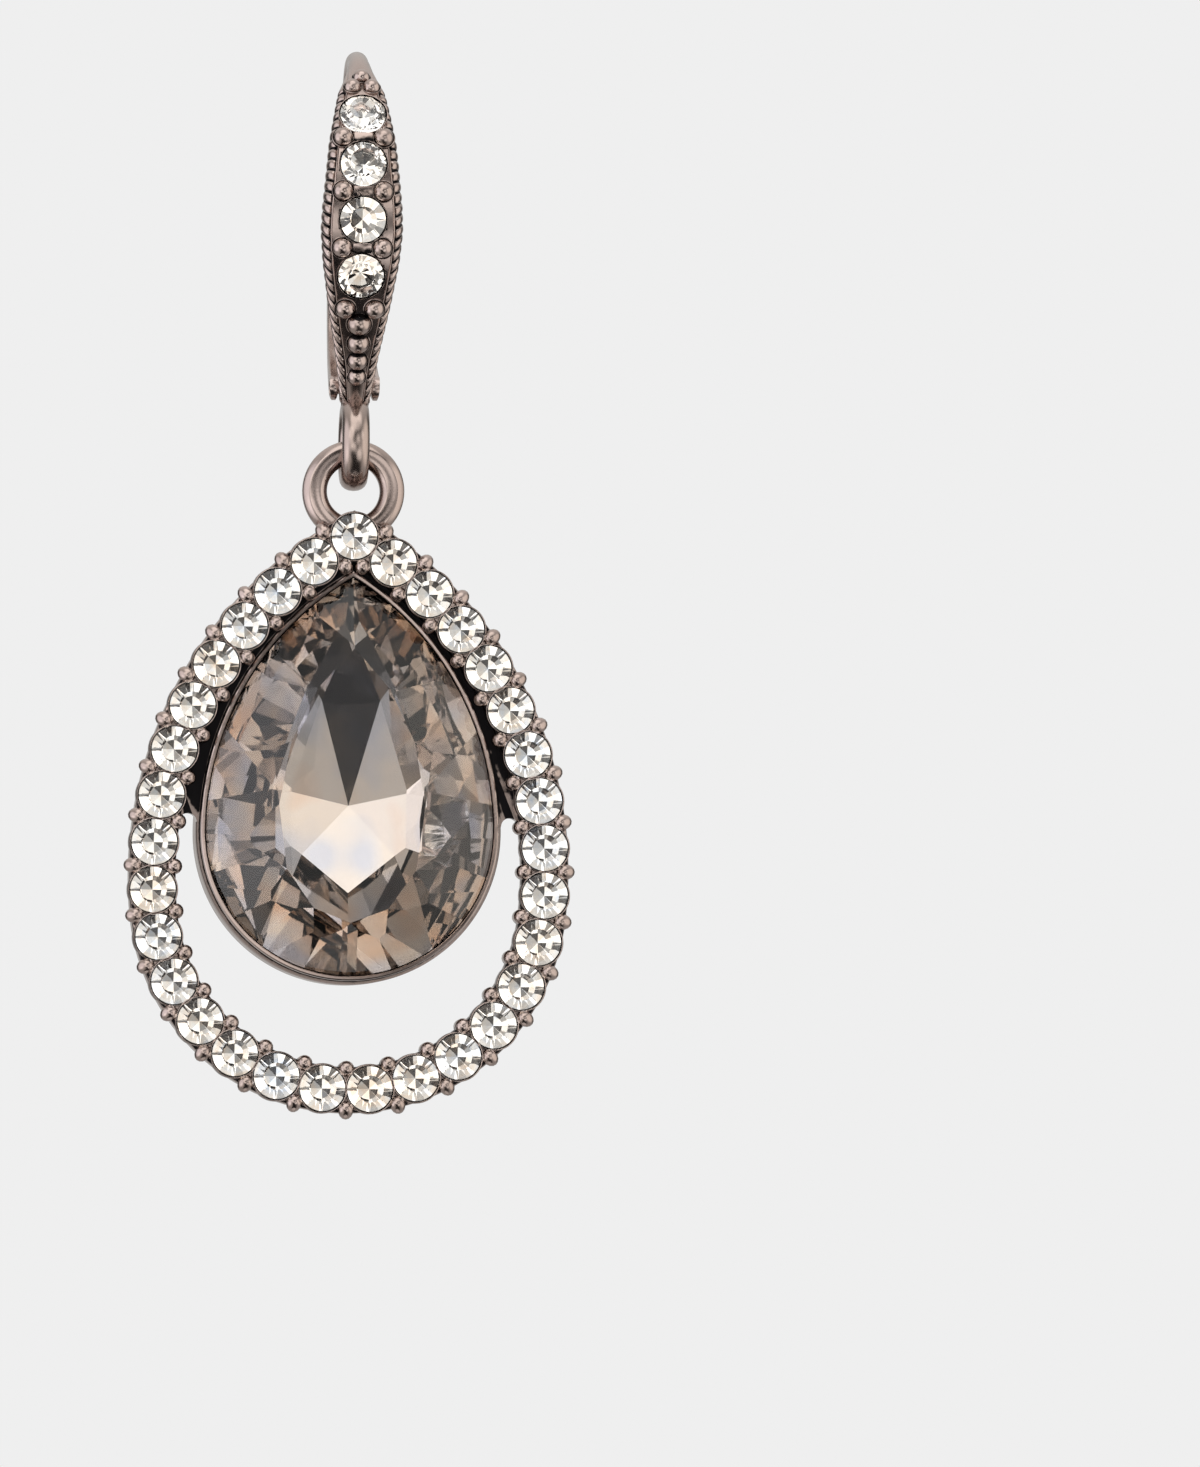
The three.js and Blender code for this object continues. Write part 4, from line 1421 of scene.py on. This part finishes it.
for a, b, kind in zip(hook_stops, hook_stops[1:], bridge_kinds):
    bridge((a + b) / 2, kind)
details = joined(rims + beads, "hook_rims_and_beads")
details.data.materials.clear()
details.data.materials.append(METAL)
finish(details, HOOK)
print("rims and beads:", len(details.data.polygons), "faces")

# %% [markdown]
# ## The loop, the lug and the lever
#
# Under the tail an upright loop is cast on, and the drop's ring hangs in it, so the two stand at a
# right angle. Behind the tail a lug carries the pin. The loop is a flattened wire, spun round its
# own middle. The lug is the hull of two rods, one round the pin and one in the tail, which is the
# shape that a caster files it to.

# %% The loop and the lug
loop_outer = 2.15
loop_wire = 1.0
loop_width = 1.25
loop_behind = 0.48
loop_sink = 0.7
loop_sides = 20
loop_flatness = 0.9
pin_radius = 0.28
pin_gap = 0.05
pin_above = 0.5
ear_radius = 0.55
ear_thick = 0.38
lug_width = 1.34
lug_gap = 0.08
lug_edge = 0.05
lug_root = 0.3
tail_y, tail_z, _ = face_at(face_length)
loop_centre = Vector((0, tail_y + loop_behind, tail_z + loop_sink - loop_outer))


def loop():
    """A slightly flattened wire, spun to a ring that stands upright under the tail."""
    rows = []
    for k in range(loop_sides):
        turn = 2 * math.pi * k / loop_sides
        width = math.copysign(abs(math.sin(turn)) ** loop_flatness, math.sin(turn))
        radius = loop_outer - loop_wire / 2 + loop_wire / 2 * math.cos(turn)
        rows.append({"r": radius, "y": loop_width / 2 * width})
    piece = lathe("hook_loop", rows, 72, axis=(1, 0, 0))
    piece.data.transform(Matrix.Translation(loop_centre * MM))
    return plated(piece, 60)


def cross_bar(name, radius, width, y, z, sides=40):
    """A round bar along X, centred on the middle plane."""
    return rod(name, radius, width, (0, y, z), "x", sides)


def hook_lug():
    """The hull of a rod round the pin and one in the tail, with a hole for the pin."""
    root = under_face(face_length - pin_above, 0, tail_thick / 2)
    eye = cross_bar("hook_lug", ear_radius, lug_width, pin.y, pin.z)
    stem = cross_bar("stem", lug_root, lug_width, root.y, root.z, 16)
    whole = joined([eye, stem], "hook_lug")
    choose(whole)
    bpy.ops.object.mode_set(mode="EDIT")
    bpy.ops.mesh.select_all(action="SELECT")
    bpy.ops.mesh.convex_hull()
    bpy.ops.object.mode_set(mode="OBJECT")
    carve(whole, [cross_bar("hole", pin_radius + pin_gap, 3, pin.y, pin.z)])
    bevelled(whole, lug_edge)
    return plated(outward(whole), 35)


finish(loop(), HOOK)
finish(hook_lug(), HOOK)
print("the loop is", loop_outer, "mm in radius, its wire", loop_wire, "mm")

# %% [markdown]
# The lever closes the hook behind the ear. It is a slightly bent bar that widens to a fork, whose
# two ears take the lug between them, and its tip has a groove in which the wire's end snaps. A
# section is spun through a small angle, which bends the bar as it grows. Fork, groove and hole are
# then cut with rods, as a mill and a drill would.

# %% The lever
lever_thick = 1.1
lever_tip_width = 1.9
lever_slot = 3.0
catch_depth = 1.3
catch_setback = 0.5
catch_gap = 0.1
lever_edge = 0.04
lever_steps = 40
ear_taper = 0.8
wire_tip_y, wire_tip_z, _ = face_at(back_end)
wire_axis_y = wire_tip_y - wire / 2
lever_width = lug_width + 2 * (lug_gap + ear_thick)
lever_end = Vector((0, wire_axis_y + catch_setback, wire_tip_z + catch_depth))


def lever():
    """A rounded section, spun through the lever's small bend, then forked, grooved and drilled."""
    reach, rise = lever_end.y - pin.y, lever_end.z - pin.z
    radius = (reach**2 + rise**2) / (2 * reach)
    centre = Vector((0, lever_end.y - radius, lever_end.z))
    sweep = math.asin(rise / radius)
    deep, soft = lever_thick / 2, lever_thick / 5
    outline = [
        (-1, -deep + 0.06),
        (-0.95, -deep),
        (0.95, -deep),
        (1, -deep + 0.06),
        (1, deep - soft),
        (0.93, deep - soft * 0.35),
        (0.8, deep - 0.02),
        (0.4, deep),
        (-0.4, deep),
        (-0.8, deep - 0.02),
        (-0.93, deep - soft * 0.35),
        (-1, deep - soft),
    ]
    start()
    bpy.ops.mesh.primitive_circle_add(vertices=len(outline), radius=MM, fill_type="NOTHING")
    piece = named("lever_arm")
    for vertex, (x, out) in zip(piece.data.vertices, outline):
        vertex.co = (centre + Vector((x, radius + out, 0))) * MM
    bpy.ops.object.mode_set(mode="EDIT")
    bpy.ops.mesh.select_all(action="SELECT")
    bpy.ops.mesh.spin(steps=lever_steps, angle=sweep, center=centre * MM, axis=(1, 0, 0))
    bpy.ops.mesh.select_all(action="SELECT")
    bpy.ops.mesh.fill_holes(sides=0)
    bpy.ops.object.mode_set(mode="OBJECT")
    for vertex in piece.data.vertices:
        local = vertex.co / MM - centre
        share = 1 + math.atan2(local.z, local.y) / sweep
        width = lever_width + (lever_tip_width - lever_width) * share
        vertex.co.x *= width / 2
    outward(piece)
    carve(piece, [cross_bar("ears", ear_radius, lever_width, pin.y, pin.z)], "UNION")
    slot = cross_bar("slot", lever_slot, lug_width + 2 * lug_gap, pin.y, pin.z, 64)
    length = catch_depth + catch_gap + 1
    middle = (0, wire_axis_y, wire_tip_z - catch_gap + length / 2)
    groove = rod("groove", wire / 2 + catch_gap, length, middle, "z")
    carve(piece, [slot, groove, cross_bar("hole", pin_radius + pin_gap, 4, pin.y, pin.z)])
    outward(piece)
    bevelled(piece, lever_edge)
    ear_middle = lug_width / 2 + lug_gap + ear_thick / 2
    for vertex in piece.data.vertices:
        below = min(1.0, (pin.z - vertex.co.z / MM) / ear_radius)
        if below > 0:
            side = math.copysign(ear_middle, vertex.co.x) * MM
            vertex.co.x = side + (vertex.co.x - side) * math.sqrt(1 - ear_taper * below**2)
    set_patina_shade(piece, lambda p: 0.0)
    return plated(piece, 35)


finish(lever(), LEVER, ["lever"])
PIN = [
    {"r": 0, "y": -lever_width / 2},
    {"r": 0.12, "y": -lever_width / 2 + 0.01},
    {"r": 0.22, "y": -lever_width / 2 + 0.05},
    {"r": pin_radius, "y": -lever_width / 2 + 0.13},
]
PIN += [{"r": row["r"], "y": -row["y"]} for row in reversed(PIN)]
hinge = plated(lathe("hinge_pin_rod", PIN, 32, axis=(1, 0, 0)), 35)
hinge.data.transform(Matrix.Translation(Vector((0, pin.y, pin.z)) * MM))
finish(hinge, HOOK, ["hinge_pin"])
print("lever, loop, lug and pin are in place")

# %% [markdown]
# ## Camera, floor and light
#
# The view is the photograph's: straight on, a little from the left and from below, with a long
# lens. The light is a white studio tent. Polished metal and cut glass show nothing but what
# surrounds them, so the tent needs tones: bright panels at both sides and above, a calmer front,
# and a few dark gaps. What the camera sees behind the earring is plain pale paper.

# %% Camera
camera_distance = 900.0
frame_height = 66.58
view_centre = Vector((11.373, -3.0, -30.455))
turn_left = math.radians(4.0)
look_up = math.radians(1.5)
roll = math.radians(0.85)
sensor = 36

start()
bpy.ops.object.camera_add()
camera = bpy.context.object
camera.name = "camera"
bpy.context.scene.camera = camera
level = math.cos(look_up)
away = Vector((-math.sin(turn_left) * level, -math.cos(turn_left) * level, -math.sin(look_up)))
camera.location = (view_centre + away * camera_distance) * MM
camera.rotation_mode = "QUATERNION"
looking = (-away).to_track_quat("-Z", "Y")
camera.rotation_quaternion = looking @ Matrix.Rotation(roll, 4, "Z").to_quaternion()
camera.data.sensor_width = sensor
camera.data.lens = camera_distance * sensor / frame_height
camera.data.clip_start = 0.01
camera.data.clip_end = 10
print("camera:", round(camera_distance), "mm away, lens", round(camera.data.lens), "mm")

# %% [markdown]
# The earring hangs in the air, so the floor is only a round of pale paper far below it. It lies
# deep on purpose: a floor close under the drop shows in the stones and lights up facets that the
# photograph has dark.

# %% Floor
floor_radius = 55
floor_height = -220
start()
bpy.ops.mesh.primitive_circle_add(
    vertices=96,
    radius=floor_radius * MM,
    fill_type="NGON",
    location=Vector((0, 0, floor_height)) * MM,
)
floor = named("floor")
paper, tree, shader = new_material("pale_paper")
tree.links.new(
    blended(tree, between(tree, noise(tree, 40), 0, 1), (0.80, 0.80, 0.80), (0.82, 0.82, 0.82)),
    shader.inputs["Base Color"],
)
shader.inputs["Roughness"].default_value = 0.9
floor.data.materials.append(paper)
print("floor:", -floor_height, "mm below the ear wire")

# %% [markdown]
# The tent is the world itself. For each panel the direction of a ray is compared with the direction
# of the panel's middle by a dot product, and the nearer they are, the more the panel adds or takes
# away. Area lamps could give such tones too, but a lamp can't hold a dark gap, and the world has no
# objects that could stand in a view. Bright panels close beside dark gaps make the stones sparkle.

# %% The tent
PAPER = 0.863
TENT = (0.56, 0.55, 0.535)
WHITE = (1.0, 0.985, 0.955)
COOL = (0.95, 0.94, 1.0)
WARM = (1.0, 0.94, 0.86)
DARKEST = (0.012, 0.011, 0.012)
# Panels: azimuth from the front towards +X and elevation in degrees, the cosine at which a panel
# begins and the one from which it is full, how much it adds, and the colour of what it adds.
PANELS = [
    (-78, 2, 0.74, 0.90, 1.15, COOL),
    (80, 2, 0.74, 0.90, 1.0, WARM),
    (0, 60, 0.80, 0.93, 1.35, WHITE),
    (5, -62, 0.78, 0.92, -0.53, WHITE),
    (-50, -42, 0.93, 0.97, 0.22, WARM),
    (55, -40, 0.93, 0.97, 0.12, WARM),
    (-32, 22, 0.93, 0.975, 1.3, WHITE),
    (20, 38, 0.94, 0.98, -0.50, WHITE),
    (44, 19, 0.98, 0.993, 1.0, WHITE),
    (-14, -26, 0.94, 0.98, -0.50, WHITE),
    (24, -26, 0.95, 0.985, 1.2, WHITE),
    (-28, -6, 0.97, 0.992, 1.0, WHITE),
    (0, 22, 0.97, 0.99, -0.50, WHITE),
    (-14, -7, 0.980, 0.992, 1.15, WHITE),
    (13, 10, 0.980, 0.992, 1.15, WHITE),
    (-3, -15, 0.982, 0.992, 0.70, WHITE),
    (9, -10, 0.985, 0.993, -0.50, WHITE),
    (-11, 8, 0.985, 0.993, -0.50, WHITE),
    (-70, -20, 0.95, 0.985, 0.50, WHITE),
    (47, -6, 0.95, 0.985, 0.32, WARM),
    (180, 70, 0.50, 0.90, 0.45, WHITE),
    (120, 0, 0.85, 0.95, -0.45, WHITE),
    (-125, 0, 0.85, 0.95, -0.45, WHITE),
]
world = bpy.data.worlds.new("studio")
bpy.context.scene.world = world
world.use_nodes = True
tree = world.node_tree
tree.nodes.clear()


def vector_step(operation, first, second):
    """One vector node; each input is a constant or the output of another node."""
    node = tree.nodes.new("ShaderNodeVectorMath")
    node.operation = operation
    for socket, value in zip(node.inputs, (first, second)):
        if isinstance(value, tuple):
            socket.default_value = value
        else:
            tree.links.new(value, socket)
    return node


place = tree.nodes.new("ShaderNodeTexCoord").outputs["Generated"]
light = TENT
for azimuth, elevation, begin, full, amount, colour in PANELS:
    a, e = math.radians(azimuth), math.radians(elevation)
    aim = (math.sin(a) * math.cos(e), -math.cos(a) * math.cos(e), math.sin(e))
    towards = vector_step("DOT_PRODUCT", place, aim).outputs["Value"]
    panel = vector_step("SCALE", colour, (0.0, 0.0, 0.0))
    tree.links.new(between(tree, towards, 0, amount, begin, full), panel.inputs["Scale"])
    light = vector_step("ADD", panel.outputs["Vector"], light).outputs["Vector"]
light = vector_step("MAXIMUM", light, DARKEST).outputs["Vector"]
tent = tree.nodes.new("ShaderNodeBackground")
tree.links.new(light, tent.inputs["Color"])
behind = tree.nodes.new("ShaderNodeBackground")
behind.inputs["Color"].default_value = (PAPER, PAPER, PAPER, 1)
ray = tree.nodes.new("ShaderNodeLightPath")
choice = tree.nodes.new("ShaderNodeMixShader")
tree.links.new(ray.outputs["Is Camera Ray"], choice.inputs["Fac"])
tree.links.new(tent.outputs["Background"], choice.inputs[1])
tree.links.new(behind.outputs["Background"], choice.inputs[2])
output = tree.nodes.new("ShaderNodeOutputWorld")
tree.links.new(choice.outputs["Shader"], output.inputs["Surface"])
print("panels in the tent:", len(PANELS))

# %% [markdown]
# Light that enters a cut stone is thrown about many times before it leaves, and each bounce that is
# cut short would leave a grey patch. So the limits on bounces are raised. The plain view transform
# keeps the paper and the bright facets at the tones that they are given.

# %% Bounces and tones
bpy.context.scene.view_settings.view_transform = "Standard"
bpy.context.scene.cycles.glossy_bounces = 10
bpy.context.scene.cycles.transmission_bounces = 14
bpy.context.scene.cycles.max_bounces = 16
print("bounces in all:", bpy.context.scene.cycles.max_bounces)
